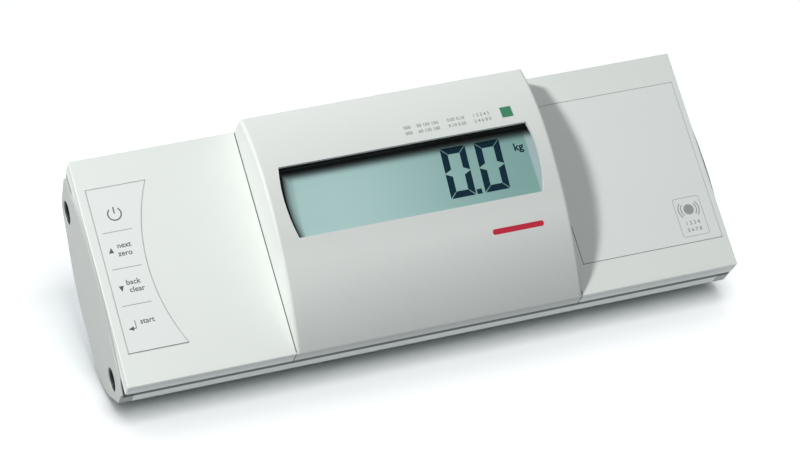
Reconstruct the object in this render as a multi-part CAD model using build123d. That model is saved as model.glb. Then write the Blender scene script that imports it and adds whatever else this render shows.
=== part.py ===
from build123d import *
import math
import os

# Desk display console of a platform scale, in millimetres.
# Every piece is drawn in the console's own frame: X runs along the length from the middle,
# Y from the front edge to the back, Z up from the face of the wings.
# At the end the whole console is leaned back by its tilt and set down on its feet.

# Overall sizes
console_length = 300.0
console_depth = 111.8
tilt = 38.0
wall = 2.4
slip = 0.15
touch = 0.02
half_length = console_length / 2

# Top cover
cover_skirt = 9.6
cover_edge_radius = 0.8
opening_side_margin = 14.25
opening_front_y = 12.0
opening_back_margin = 11.0

# Raised hood over the display
hood_width = 140.5
hood_side_draft = 0.4
hood_height = 22.5
hood_peak_from_back = 37.8
hood_front_height = 0.5
hood_back_height = 14.0
hood_wall = 2.0
hood_edge_radius = 1.6
hood_peak_y = console_depth - hood_peak_from_back

# Display window in the hood: straight top and bottom, bowed ends
window_side_margin = 9.3
window_taper = 2.2
window_height = 34.6
window_back_margin = 29.5
window_bow = 2.2
window_top_width = hood_width - 2 * window_side_margin
window_bottom_width = window_top_width - window_taper
window_back_y = console_depth - window_back_margin
window_front_y = window_back_y - window_height

# Display glass and the frame round it
glass_depth_in_hood = 7.2
glass_thickness = 2.2
glass_side_overlap = 4.05
glass_front_overlap = 3.0
glass_back_overlap = 7.2
glass_top_z = hood_height - glass_depth_in_hood
glass_length = window_top_width + 2 * glass_side_overlap
glass_front_y = window_front_y - glass_front_overlap
glass_back_y = window_back_y + glass_back_overlap
bezel_rim = 2.4
bezel_shift_x = 1.9
bezel_shift_y = -1.4
lens_thickness = 0.6
reflector_thickness = 0.6
holder_wall = 2.0
holder_height = 6.5
elastomer_width = 2.4
bezel_clear = 0.3

# Main circuit board
board_thickness = 1.6
board_side_gap = 12.25
board_front_y = 18.0
board_back_gap = 13.0
board_top_z = glass_top_z - glass_thickness - holder_height
board_length = hood_width - 2 * board_side_gap
board_back_y = console_depth - board_back_gap
chips = ((-6.0, 50.0, 14.0, 14.0, 1.6), (18.0, 62.0, 10.0, 8.0, 1.6), (12.0, 40.0, 5.0, 3.4, 1.6))
buzzer_place = (0.0, 28.0)
buzzer_radius = 6.0
buzzer_height = 5.5
buzzer_port = 1.0

# Connectors under the main board: centre x, y, then length, depth and height
connectors = {
    "keys": (-34.0, 44.0, 4.0, 14.0, 4.0),
    "sockets": (-34.0, 86.0, 4.0, 10.0, 4.0),
    "battery": (34.0, 34.0, 12.0, 5.0, 4.0),
    "radio": (42.0, 58.0, 4.0, 8.0, 4.0),
}

# Keypad on the left wing
foil_margin = 4.2
foil_width = 28.6
foil_hollow = 9.2
foil_front_margin = 13.7
foil_back_margin = 13.1
foil_thickness = 0.5
key_inset = 9.5
key_width = 15.0
key_gap = 1.8
key_corner = 2.5
key_pitch = 18.0
key_first_y = 29.3
key_travel = 0.4
key_end_gap = 0.1
key_slip = 0.08
key_stem_radius = 3.0
key_names = ("enter", "down", "up", "power")
key_length = key_pitch - key_gap
foil_left_x = foil_margin - half_length
foil_corner_x = foil_left_x + foil_width
foil_waist_x = foil_corner_x - foil_hollow
foil_front_y = key_first_y - foil_front_margin
foil_back_y = key_first_y + key_pitch * (len(key_names) - 1) + foil_back_margin
key_x = foil_left_x + key_inset
key_board_top_z = -7.0
key_board_thickness = 1.5
key_board_shift_x = 0.8
key_board_width = 25.0
key_board_front_margin = 2.4
key_board_back_margin = 1.8
key_board_post_inset = (4.0, 3.0)
dome_radius = 4.0
dome_height = 1.2

# Panel on the right wing with the radio module under it
panel_hood_gap = 5.35
panel_end_margin = 3.0
panel_front_y = 15.2
panel_back_margin = 15.3
panel_thickness = 1.2
panel_seam = 0.25
panel_corner = 0.6
panel_left_x = hood_width / 2 + panel_hood_gap
panel_right_x = half_length - panel_end_margin
panel_back_y = console_depth - panel_back_margin
radio_size = (46.0, 32.0, 1.2)
radio_y = 52.0
radio_post_distances = (51.0, 21.0)
radio_top_z = -8.0
radio_can_size = (18.0, 18.0, 2.6)
radio_can_shift_y = -2.0

# Lower shell: the outline of its ends is the outer hull of these circles (y, z, radius)
shell_top_z = -10.6
shell_wall = 2.5
shell_front_y = 1.0
shell_back_inset = 1.2
shell_corner_radius = 3.0
shell_shoulder = 1.2
front_tip = (12.4, -20.4, 11.4)
belly_front = (34.0, -20.6, 30.0)
belly_back_y = 52.0
tip_from_back = 15.3
shell_back_y = console_depth - shell_back_inset
rear_tip = (console_depth - tip_from_back, -25.0, 9.5)
lip_height = 4.4
lip_root = 3.0
lip_wall = 1.2

# End caps and their screw wells
cap_proud = 1.2
cap_depth = 5.0
cap_arch_radius = 130.0
cap_arch_y = 54.0
cap_arch_z = -1.2
well_places = ((rear_tip[0], rear_tip[1]), (12.7, -23.6))
well_radius = 5.4
well_rim_radius = 6.5
well_wall = 1.4
well_depth = 18.0
well_bevel = 2.2
cap_screw_radius = 2.0
cap_screw_length = 12.0
cap_screw_head = (3.6, 2.6)
cap_screw_key = (1.6, 1.5)
boss_radius = 9.0
boss_length = 14.0

# Housing screws that hold the lower shell to the cover
post_end_distance = 50.0
post_rows_y = (26.0, 76.0)
post_radius = 5.0
post_well_radius = 3.4
post_seat_z = -20.0
housing_screw_radius = 1.5
housing_screw_length = 14.0
housing_screw_head = (2.8, 2.0)

# Flat cables
ribbon_thickness = 0.4
ribbon_bend = 2.0
ribbon_margin = 1.0

# How far each cable lies along its own piece, and how far from the main board's connector it rises
cable_runs = {"keys": (6.0, 10.0), "sockets": (10.0, 18.0), "battery": (8.0, 6.0), "radio": (4.0, 7.0)}

# Small screws for boards and hood
small_screw_radius = 1.2
small_screw_head = (2.3, 1.6)
slot_width = 0.7
slot_depth = 0.8
small_post_radius = 3.2
hood_screw_length = 9.0
hood_post_inset = 7.75
hood_post_front_y = 24.0
hood_post_from_back = 8.0
board_post_inset = 5.0
board_post_front_inset = 8.0
board_post_back_inset = 4.0
board_screw_length = 4.8

# Battery compartment in the belly
cell_radius = 7.1
cell_length = 50.4
cell_nub = (2.6, 1.0)
cell_rows = 2
cell_side_gap = 1.2
cell_floor_gap = 0.4
spring_room = 1.38
tray_wall = 1.2
tray_middle_y = 44.5
lid_slip = 0.2
lid_rib_height = 2.0
lid_grip_length = 24.0
lid_grip_width = 1.2
lid_grip_depth = 0.8
lid_grip_pitch = 3.0
lid_grip_margin = 4.0
lid_grips = 3
contact_size = 10.0
contact_thickness = 0.4
cell_room = cell_length + cell_nub[1] + 2 * contact_thickness + spring_room + touch
tray_inner_length = 2 * cell_room + tray_wall
tray_inner_width = cell_rows * (2 * cell_radius + cell_side_gap)
tray_front_y = tray_middle_y - tray_inner_width / 2
spring_wire = 0.5
spring_radius = 2.6
spring_turns = 3

# Sockets on the rear wall
socket_board_z = -28.0
socket_board_thickness = 1.6
socket_board_length = 48.0
socket_board_depth = 18.0
socket_board_gap = 13.0
socket_post_spread = 36.0
socket_post_inset = 4.0
socket_pilot_depth = 6.0
socket_size = (10.0, 14.0, 10.0)
socket_nose_radius = 4.0
socket_face_gap = 5.4
data_socket_x = -34.0
data_socket_bore = 1.78
power_socket_x = -56.0
power_socket_bore = 2.8
power_socket_pin = 0.9
power_socket_pin_proud = 3.0
socket_board_back_y = console_depth - socket_board_gap
socket_board_front_y = socket_board_back_y - socket_board_depth

# Fold-out stand
stand_axis = (72.0, -54.0)
stand_lean = 28.0
stand_width = 84.0
stand_thickness = 3.5
stand_barrel_radius = 3.6
stand_pin_radius = 1.5
stand_pin_slip = 0.06
ear_radius = 4.2
ear_width = 4.0
ear_roots = ((-4.0, 8.0, 2.0), (8.0, 12.5, 2.0))
heel_width = 30.0
heel_thickness = 2.8
heel_start = 1.6
heel_reach = 12.0
foot_rail = (9.0, 3.0)
pad_thickness = 2.5
pad_corner = 1.5

# Rubber feet under the front
foot_length = 42.0
foot_width = 9.0
foot_proud = 1.5
foot_sunk = 1.0
foot_corner = 2.0
foot_end_distance = 46.0
foot_x = half_length - foot_end_distance

# Marks stuck on the hood
seal_size = 5.4
seal_thickness = 0.15
seal_inset = 7.5
seal_over_window = 6.9
seal_x = window_top_width / 2 - seal_inset
seal_y = window_back_y + seal_over_window


def block(x0, x1, y0, y1, z0, z1):
    """A box between two corners."""
    size = (x1 - x0, y1 - y0, z1 - z0)
    return Pos((x0 + x1) / 2, (y0 + y1) / 2, (z0 + z1) / 2) * Box(*size)


def post(x, y, z0, z1, radius):
    """An upright round bar."""
    return Pos(x, y, (z0 + z1) / 2) * Cylinder(radius, z1 - z0)


def bar_x(x0, x1, y, z, radius):
    """A round bar along X."""
    return Pos((x0 + x1) / 2, y, z) * Rot(Y=90) * Cylinder(radius, abs(x1 - x0))


def bar_y(x, y0, y1, z, radius):
    """A round bar along Y."""
    return Pos(x, (y0 + y1) / 2, z) * Rot(X=90) * Cylinder(radius, y1 - y0)


def prism_x(section, x0, x1):
    """A section drawn in Y and Z, drawn out along X."""
    return extrude(Plane.YZ.offset(x0) * section, x1 - x0)


def level(y, z):
    """The place of a piece that is drawn as it stands on the desk, at a point of the console."""
    return Pos(0, y, z) * Rot(X=-tilt)


def hull(circles, inset):
    """The outer hull of circles (y, z, radius), drawn in by an inset."""
    rings = [Pos(y, z) * Circle(radius - inset) for y, z, radius in circles]
    return make_hull([ring.edge() for ring in rings])


def belly_back():
    """The wide circle behind the belly: level with it, and up to the rear shoulder of the shell."""
    rise = shell_top_z - belly_z
    run = shell_back_y - shell_shoulder - belly_back_y
    radius = (run ** 2 + rise ** 2) / (2 * rise)
    return (belly_back_y, belly_z + radius, radius)


def shell_section(inset):
    """The end outline of the body below the wings."""
    corner_z = shell_top_z + shell_corner_radius
    front_top = (shell_front_y + shell_corner_radius, corner_z, shell_corner_radius)
    rear_top = (shell_back_y - shell_corner_radius, corner_z, shell_corner_radius)
    outline = hull((front_top, front_tip, belly_front, belly_back(), rear_tip, rear_top), inset)
    reach = 2 * console_depth
    upright_front = Pos(shell_front_y + inset + reach / 2, 0) * Rectangle(reach, reach)
    return outline & upright_front


def below(section, top_z):
    """The part of a Y, Z section that lies under a height."""
    reach = 2 * console_depth
    return section & (Pos(console_depth / 2, top_z - reach / 2) * Rectangle(2 * reach, reach))


def hood_section(inset):
    """Side outline of the hood: two arcs that meet level at the peak, and upright skirts."""
    peak = (hood_peak_y, hood_height - inset)
    front = (inset, hood_front_height - inset)
    back = (console_depth - inset, hood_back_height - inset)
    skirt_z = -cover_skirt - inset
    outline = [
        TangentArc(peak, front, tangent=(-1, 0)),
        TangentArc(peak, back, tangent=(1, 0)),
        Polyline(front, (inset, skirt_z), (console_depth - inset, skirt_z), back),
    ]
    return make_face(Curve() + outline)


def hood_body(inset):
    """The hood's outer or inner form: the side outline between slightly leaning side faces."""
    bottom = hood_width / 2 - inset
    top = bottom - hood_side_draft / 2
    body = prism_x(hood_section(inset), -bottom, bottom)
    right = [(bottom, -2 * cover_skirt), (bottom, 0), (top, hood_height)]
    left = [(-x, z) for x, z in reversed(right)]
    front_view = make_face(Polyline(*right, *left, close=True))
    return body & extrude(Plane.XZ * front_view, -console_depth)


def window_shape(margin):
    """The display opening seen from above, grown by a margin."""
    top = window_top_width / 2 + margin
    bottom = window_bottom_width / 2 + margin
    front = window_front_y - margin
    back = window_back_y + margin
    middle_x = (top + bottom) / 2 + window_bow
    middle_y = (front + back) / 2
    outline = [
        Line((-top, back), (top, back)),
        ThreePointArc((top, back), (middle_x, middle_y), (bottom, front)),
        Line((bottom, front), (-bottom, front)),
        ThreePointArc((-bottom, front), (-middle_x, middle_y), (-top, back)),
    ]
    return make_face(Curve() + outline)


def foil_shape(margin):
    """The keypad foil: straight on three sides, one long hollow curve on the right."""
    left = foil_left_x - margin
    corner = foil_corner_x + margin
    front = foil_front_y - margin
    back = foil_back_y + margin
    middle = ((foil_waist_x + margin), (front + back) / 2)
    outline = [
        Polyline((corner, back), (left, back), (left, front), (corner, front)),
        ThreePointArc((corner, front), middle, (corner, back)),
    ]
    return make_face(Curve() + outline)


def key_shape(margin):
    """One key seen from above, round its own centre."""
    return RectangleRounded(key_width + 2 * margin, key_length + 2 * margin, key_corner + margin)


def from_above(shape, z0, z1):
    """A shape drawn in X and Y, drawn up between two heights."""
    return extrude(Pos(0, 0, z0) * shape, z1 - z0)


def key_places():
    """Centre of each key, from the front one to the back one."""
    return [(key_x, key_first_y + key_pitch * row) for row in range(len(key_names))]


def screw(x, y, z, head, radius, length):
    """A screw that points up, with the underside of its head at a height."""
    head_radius, head_height = head
    body = post(x, y, z, z + length, radius) + post(x, y, z - head_height, z, head_radius)
    bottom = z - head_height
    slot = block(x - head_radius, x + head_radius, y - slot_width / 2, y + slot_width / 2,
                 bottom, bottom + slot_depth)
    return body - slot


def corners(half_x, rows_y):
    """Places at two rows, left and right of the middle."""
    return [(x, y) for x in (-half_x, half_x) for y in rows_y]


def group(solids):
    """Like pieces kept together as one node of separate solids."""
    return Compound(children=list(solids))


# Places that follow from the sizes above
cap_face_x = half_length + cap_proud
shell_end_x = half_length - cap_depth - slip
belly_z = belly_front[1] - belly_front[2]
belly_inside_z = belly_z + shell_wall
foil_floor_z = -foil_thickness
panel_floor_z = -panel_thickness
glass_bottom_z = glass_top_z - glass_thickness
board_bottom_z = board_top_z - board_thickness
key_board_bottom_z = key_board_top_z - key_board_thickness
dome_top_z = key_board_top_z + dome_height
opening_x = hood_width / 2 - opening_side_margin
hood_posts = corners(hood_width / 2 - hood_post_inset,
                     (hood_post_front_y, console_depth - hood_post_from_back))
board_posts = corners(board_length / 2 - board_post_inset,
                      (board_front_y + board_post_front_inset, board_back_y - board_post_back_inset))
post_places = corners(half_length - post_end_distance, post_rows_y)
key_board_box = (foil_left_x + key_board_shift_x, foil_left_x + key_board_shift_x + key_board_width,
                 foil_front_y + key_board_front_margin, foil_back_y - key_board_back_margin)
key_board_posts = ((key_board_box[0] + key_board_post_inset[0], key_board_box[2] + key_board_post_inset[1]),
                   (key_board_box[0] + key_board_post_inset[0], key_board_box[3] - key_board_post_inset[1]))
radio_posts = [(panel_right_x - distance, radio_y) for distance in radio_post_distances]


# Top cover with both wings
def make_top_cover():
    outer = block(-half_length, half_length, 0, console_depth, -cover_skirt, 0)
    outer = fillet(outer.edges().filter_by(Axis.Z), cover_edge_radius)
    outer = fillet(outer.faces().sort_by(Axis.Z)[-1].edges(), cover_edge_radius / 2)
    inner_x = half_length - wall
    cover = outer - block(-inner_x, inner_x, wall, console_depth - wall, -cover_skirt, -wall)
    cover -= block(-opening_x, opening_x, opening_front_y, console_depth - opening_back_margin, -wall, 0)
    notch_x = hood_width / 2 + slip
    cover -= block(-notch_x, notch_x, 0, wall + slip, -cover_skirt, 0)
    cover -= block(-notch_x, notch_x, console_depth - wall - slip, console_depth, -cover_skirt, 0)
    cover -= from_above(foil_shape(slip), foil_floor_z, 0)
    for x, y in key_places():
        pocket_z = foil_floor_z - key_travel - key_end_gap
        cover -= from_above(Pos(x, y) * key_shape(slip), pocket_z, 0)
        cover -= post(x, y, -wall, 0, key_stem_radius + slip)
    panel_x = panel_right_x + panel_seam
    cover -= block(panel_left_x - panel_seam, panel_x, panel_front_y - panel_seam, panel_back_y + panel_seam,
                   panel_floor_z, 0)
    for x, y in hood_posts:
        cover -= post(x, y, -wall, 0, small_screw_radius + slip)
    for x, y in post_places:
        boss = post(x, y, post_seat_z + wall + slip, -wall, post_radius)
        cover += boss - post(x, y, post_seat_z, -wall, housing_screw_radius + touch)
    for x, y in key_board_posts:
        boss = post(x, y, key_board_top_z, -wall, small_post_radius)
        cover += boss - post(x, y, key_board_top_z, -wall, small_screw_radius + touch)
    for x, y in radio_posts:
        boss = post(x, y, radio_top_z, -wall, small_post_radius)
        cover += boss - post(x, y, radio_top_z, -wall, small_screw_radius + touch)
    return cover


# Hood with its window, and the posts inside it
def make_display_hood():
    outer = hood_body(0)
    curved = [edge for edge in outer.edges() if edge.geom_type in (GeomType.CIRCLE, GeomType.ELLIPSE)]
    outer = fillet(curved, min(hood_edge_radius, hood_wall - touch))
    hood = outer - hood_body(hood_wall)
    hood -= block(-hood_width, hood_width, wall, console_depth - wall, -2 * cover_skirt, 0)
    hood -= from_above(window_shape(0), glass_top_z, hood_height)
    inside = hood_body(hood_wall / 2)
    for x, y in hood_posts:
        column = post(x, y, 0, hood_height, small_post_radius) & inside
        pilot_z = hood_screw_length - wall + slip
        hood += column - post(x, y, 0, pilot_z, small_screw_radius + touch)
    for x, y in board_posts:
        column = post(x, y, board_top_z, hood_height, small_post_radius) & inside
        pilot_z = board_bottom_z + board_screw_length + slip
        hood += column - post(x, y, board_top_z, pilot_z, small_screw_radius + touch)
    return hood


# Lower shell
def make_lower_shell():
    outer = prism_x(below(shell_section(0), shell_top_z), -shell_end_x, shell_end_x)
    inner = prism_x(shell_section(shell_wall), -shell_end_x, shell_end_x)
    shell = outer - inner
    lip_outer = wall + 2 * slip
    lip_inner = lip_outer + lip_wall
    lip_low = shell_top_z - lip_root
    lip_high = shell_top_z + lip_height
    lip = block(-shell_end_x, shell_end_x, lip_outer, console_depth - lip_outer, lip_low, lip_high)
    lip -= block(-shell_end_x, shell_end_x, lip_inner, console_depth - lip_inner, lip_low, lip_high)
    notch_x = hood_width / 2 + slip
    lip -= block(-notch_x, notch_x, 0, console_depth, shell_top_z, lip_high)
    shell += lip
    shell += make_corner_bosses()
    for x, y in post_places:
        column = post(x, y, belly_z, post_seat_z + wall, post_radius)
        shell += column & prism_x(shell_section(0), -half_length, half_length)
    for x, y in post_places:
        shell -= post(x, y, belly_z - 1, post_seat_z, post_well_radius)
        shell -= post(x, y, post_seat_z, post_seat_z + wall, housing_screw_radius + slip)
    shell -= make_lid_cut()
    shell += make_socket_posts()
    shell -= make_socket_mouths()
    shell += make_stand_ears()
    for x in (-foot_x, foot_x):
        shell -= make_foot(x, slip)
    return shell


def make_corner_bosses():
    """Solid blocks behind the screw wells, grown out of the wall."""
    inside = prism_x(shell_section(0), -half_length, half_length)
    start = cap_face_x - well_depth - slip
    bosses = []
    for side in (-1, 1):
        for y, z in well_places:
            ends = (side * (start - boss_length), side * start)
            rod = bar_x(*ends, y, z, boss_radius) & inside
            bosses.append(rod - bar_x(*ends, y, z, cap_screw_radius + touch))
    return bosses


def make_lid_cut():
    """The opening in the belly that the battery lid closes."""
    half = tray_inner_length / 2
    return block(-half, half, tray_front_y, tray_front_y + tray_inner_width,
                 belly_z - shell_wall, belly_inside_z + lid_rib_height)


def make_stand_ears():
    """Two ears under the belly that carry the stand's pin."""
    y, z = stand_axis
    root = [(y + root_y, z + root_z, radius) for root_y, root_z, radius in ear_roots]
    section = hull([(y, z, ear_radius)] + root, 0) - Pos(y, z) * Circle(stand_pin_radius + touch)
    inner = stand_width / 2 + slip * 2
    return [prism_x(section, inner, inner + ear_width), prism_x(section, -inner - ear_width, -inner)]


def socket_posts():
    """Where the two screws of the socket board stand."""
    middle = (data_socket_x + power_socket_x) / 2
    half = socket_post_spread / 2
    y = socket_board_front_y + socket_post_inset
    return ((middle - half, y), (middle + half, y))


def make_socket_posts():
    """Two posts on the belly under the socket board."""
    top = socket_board_z - socket_board_thickness
    inside = prism_x(shell_section(shell_wall / 2), -half_length, half_length)
    posts = []
    for x, y in socket_posts():
        column = post(x, y, belly_z, top, small_post_radius) & inside
        posts.append(column - post(x, y, top - socket_pilot_depth, top, small_screw_radius + touch))
    return posts


def make_socket_mouths():
    """Holes in the rear wall that the noses of the two sockets pass through."""
    z = socket_board_z + socket_size[2] / 2
    return [bar_y(x, shell_back_y - 3 * shell_wall, console_depth, z, socket_nose_radius + slip)
            for x in (data_socket_x, power_socket_x)]


# End caps: a lens-shaped flange outside the cover, a plug in the shell's end, two screw wells
def make_end_cap(side):
    arch_centre = cap_arch_z - cap_arch_radius
    flange_section = shell_section(0) & (Pos(cap_arch_y, arch_centre) * Circle(cap_arch_radius))
    flange = prism_x(flange_section, half_length + touch, cap_face_x)
    flange = fillet(flange.faces().sort_by(Axis.X)[-1].edges(), cap_proud / 2)
    plug = prism_x(below(shell_section(0), shell_top_z), half_length - cap_depth, half_length + touch)
    cap = flange + plug
    well_floor = cap_face_x - well_depth
    for y, z in well_places:
        cup = bar_x(well_floor, half_length, y, z, well_radius + well_wall)
        cap += cup & prism_x(shell_section(shell_wall + slip), 0, half_length)
    for y, z in well_places:
        cap -= bar_x(well_floor + wall, cap_face_x, y, z, well_radius)
        cap -= bar_x(well_floor, cap_face_x, y, z, cap_screw_radius + slip)
        cap -= Pos(cap_face_x, y, z) * Rot(Y=90) * Cone(well_radius, well_rim_radius, well_bevel)
    if side < 0:
        cap = mirror(cap, about=Plane.YZ)
    return cap


def make_cap_screws():
    """The four screws at the bottom of the wells."""
    head_radius, head_height = cap_screw_head
    key_radius, key_depth = cap_screw_key
    socket = Rot(Y=90) * extrude(RegularPolygon(key_radius, 6), key_depth, both=True)
    seat = cap_face_x - well_depth + wall
    screws = []
    for side in (-1, 1):
        for y, z in well_places:
            shank = bar_x(side * (seat - cap_screw_length), side * seat, y, z, cap_screw_radius)
            head = bar_x(side * seat, side * (seat + head_height), y, z, head_radius)
            screws.append(shank + head - Pos(side * (seat + head_height), y, z) * socket)
    return group(screws)


# Keypad
def make_keypad_foil():
    foil = from_above(foil_shape(0), foil_floor_z, 0)
    for x, y in key_places():
        foil -= from_above(Pos(x, y) * key_shape(key_slip), foil_floor_z, 0)
    return foil


def make_key(x, y):
    cap = from_above(Pos(x, y) * key_shape(0), foil_floor_z, 0)
    stem_end_z = dome_top_z + key_travel + key_end_gap
    return cap + post(x, y, stem_end_z, foil_floor_z, key_stem_radius)


def make_key_board():
    x0, x1, y0, y1 = key_board_box
    board = block(x0, x1, y0, y1, key_board_bottom_z, key_board_top_z)
    for x, y in key_board_posts:
        board -= post(x, y, key_board_bottom_z, key_board_top_z, small_screw_radius + slip)
    return board


def make_key_domes():
    domes = []
    ball_radius = (dome_radius ** 2 + dome_height ** 2) / (2 * dome_height)
    for x, y in key_places():
        ball = Pos(x, y, dome_top_z - ball_radius) * Sphere(ball_radius)
        domes.append(ball & post(x, y, key_board_top_z, dome_top_z, dome_radius))
    return group(domes)


# Right wing panel and radio module
def make_wing_panel():
    panel = block(panel_left_x, panel_right_x, panel_front_y, panel_back_y, panel_floor_z, 0)
    return fillet(panel.edges().filter_by(Axis.Z), panel_corner)


def make_radio_board():
    length, depth, thickness = radio_size
    centre_x = (radio_posts[0][0] + radio_posts[1][0]) / 2
    centre_y = radio_posts[0][1]
    board = block(centre_x - length / 2, centre_x + length / 2, centre_y - depth / 2, centre_y + depth / 2,
                  radio_top_z - thickness, radio_top_z)
    for x, y in radio_posts:
        board -= post(x, y, radio_top_z - thickness, radio_top_z, small_screw_radius + slip)
    return board


def make_radio_can():
    centre_x = (radio_posts[0][0] + radio_posts[1][0]) / 2
    centre_y = radio_posts[0][1]
    length, depth, height = radio_can_size
    top = radio_top_z - radio_size[2]
    front = centre_y + radio_can_shift_y - depth / 2
    return block(centre_x - length / 2, centre_x + length / 2, front, front + depth, top - height, top)


# Display
def make_bezel():
    """Black frame between the hood's skin and the glass, set a little low and to the right."""
    ring = from_above(window_shape(bezel_rim), glass_top_z, hood_height)
    shift = Pos(bezel_shift_x, bezel_shift_y)
    ring -= from_above(shift * window_shape(bezel_clear), glass_top_z, hood_height)
    return ring & hood_body(hood_wall + touch)


def make_glass():
    half = glass_length / 2
    return block(-half, half, glass_front_y, glass_back_y, glass_bottom_z, glass_top_z - lens_thickness)


def make_lens():
    half = glass_length / 2
    return block(-half, half, glass_front_y, glass_back_y, glass_top_z - lens_thickness, glass_top_z)


def make_reflector():
    half = glass_length / 2 - 2 * holder_wall
    inset = 2 * elastomer_width + holder_wall
    return block(-half, half, glass_front_y + inset, glass_back_y - inset,
                 glass_bottom_z - reflector_thickness, glass_bottom_z)


def make_holder():
    """Frame that stands on the board and carries the glass."""
    half = glass_length / 2
    front = glass_front_y
    back = glass_back_y
    outer = block(-half, half, front, back, board_top_z, glass_bottom_z)
    inner = block(-half + holder_wall, half - holder_wall, front + holder_wall, back - holder_wall,
                  board_top_z, glass_bottom_z)
    ledge_inset = 2 * elastomer_width + holder_wall
    ledge = block(-half, half, front + ledge_inset - holder_wall, front + ledge_inset,
                  board_top_z, glass_bottom_z)
    ledge += block(-half, half, back - ledge_inset, back - ledge_inset + holder_wall,
                   board_top_z, glass_bottom_z)
    deck_top = glass_bottom_z - reflector_thickness
    deck = block(-half, half, front + ledge_inset, back - ledge_inset, deck_top - holder_wall / 2, deck_top)
    return outer - inner + ledge + deck


def make_elastomers():
    """Conducting rubber strips between board and glass."""
    half = glass_length / 2 - holder_wall - slip
    strips = []
    channel = elastomer_width - touch
    for edge_y in (glass_front_y + holder_wall, glass_back_y - holder_wall - elastomer_width):
        strips.append(block(-half, half, edge_y + slip, edge_y + channel - slip, board_top_z, glass_bottom_z))
    return group(strips)


# Main board
def make_main_board():
    half = board_length / 2
    board = block(-half, half, board_front_y, board_back_y, board_bottom_z, board_top_z)
    for x, y in board_posts:
        board -= post(x, y, board_bottom_z, board_top_z, small_screw_radius + slip)
    return board


def make_board_chips():
    """Processor, converter, crystal and connectors under the board."""
    blocks = []
    for x, y, length, depth, height in chips + tuple(connectors.values()):
        blocks.append(block(x - length / 2, x + length / 2, y - depth / 2, y + depth / 2,
                            board_bottom_z - height, board_bottom_z))
    return group(blocks)


def make_buzzer():
    x, y = buzzer_place
    low = board_bottom_z - buzzer_height
    return post(x, y, low, board_bottom_z, buzzer_radius) - post(x, y, low, low + buzzer_port, buzzer_port)


# Flat cables
def ribbon(plug, points):
    """A flat cable along a path in X and Z with rounded bends, as wide as its connector allows."""
    y = plug[1]
    half = plug[3] / 2 - ribbon_margin
    path = FilletPolyline(*points, radius=ribbon_bend)
    return extrude(Plane.XZ.offset(half - y) * trace(path, ribbon_thickness), -2 * half)


def make_key_cable():
    """From under the key board to the main board."""
    x, y, length, depth, height = connectors["keys"]
    plug_z = board_bottom_z - height / 2
    start_z = key_board_bottom_z - ribbon_thickness
    tail, standoff = cable_runs["keys"]
    end_x = x - length / 2
    points = [(key_board_box[1] - tail, start_z), (-opening_x, start_z), (end_x - standoff, plug_z),
              (end_x, plug_z)]
    return ribbon(connectors["keys"], points)


def make_radio_cable():
    """From under the radio board to the main board."""
    x, y, length, depth, height = connectors["radio"]
    plug_z = board_bottom_z - height / 2
    start_z = radio_top_z - radio_size[2] - ribbon_thickness
    tail, standoff = cable_runs["radio"]
    end_x = x + length / 2
    points = [(radio_posts[0][0] + tail, start_z), (opening_x, start_z), (end_x + standoff, plug_z),
              (end_x, plug_z)]
    return ribbon(connectors["radio"], points)


def make_battery_cable():
    """From the top of the battery tray up to the main board."""
    x, y, length, depth, height = connectors["battery"]
    plug_z = board_bottom_z - height / 2
    start_z = tray_top_z() + tray_wall + ribbon_thickness
    tail, standoff = cable_runs["battery"]
    end_x = x + length / 2
    rise_x = end_x + standoff
    points = [(rise_x + tail, start_z), (rise_x, start_z), (rise_x, plug_z), (end_x, plug_z)]
    return ribbon(connectors["battery"], points)


def make_socket_cable():
    """From the socket board up to the main board."""
    x, y, length, depth, height = connectors["sockets"]
    plug_z = board_bottom_z - height / 2
    start_z = socket_board_z + ribbon_thickness
    tail, standoff = cable_runs["sockets"]
    end_x = x + length / 2
    rise_x = end_x + standoff
    points = [(rise_x - tail, start_z), (rise_x, start_z), (rise_x, plug_z), (end_x, plug_z)]
    return ribbon(connectors["sockets"], points)


# Batteries
def cell_rows_y():
    pitch = tray_inner_width / cell_rows
    return [tray_front_y + pitch * (row + 0.5) for row in range(cell_rows)]


def cell_z():
    return belly_inside_z + cell_floor_gap + cell_radius


def tray_top_z():
    return cell_z() + cell_radius + cell_floor_gap


def make_battery_tray():
    half = tray_inner_length / 2
    front = tray_front_y
    back = front + tray_inner_width
    top = tray_top_z()
    outer = block(-half - tray_wall, half + tray_wall, front - tray_wall, back + tray_wall,
                  belly_inside_z, top + tray_wall)
    tray = outer - block(-half, half, front, back, belly_inside_z, top)
    tray += block(-tray_wall / 2, tray_wall / 2, front, back, belly_inside_z, top)
    return tray & prism_x(shell_section(shell_wall), -half_length, half_length)


def cell_starts():
    """Where each cell's plain end lies along X."""
    clear = contact_thickness + spring_room
    return (clear - tray_inner_length / 2, clear + tray_wall / 2)


def make_battery_cells():
    nub_radius, nub_length = cell_nub
    cells = []
    for y in cell_rows_y():
        for start in cell_starts():
            end = start + cell_length
            can = bar_x(start, end, y, cell_z(), cell_radius)
            cells.append(can + bar_x(end, end + nub_length, y, cell_z(), nub_radius))
    return group(cells)


def make_battery_contacts():
    plates = []
    half = contact_size / 2
    z = cell_z()
    for y in cell_rows_y():
        for start in cell_starts():
            near = start - spring_room - contact_thickness
            far = start + cell_length + cell_nub[1] + touch
            for x in (near, far):
                plates.append(block(x, x + contact_thickness, y - half, y + half, z - half, z + half))
    return group(plates)


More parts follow.
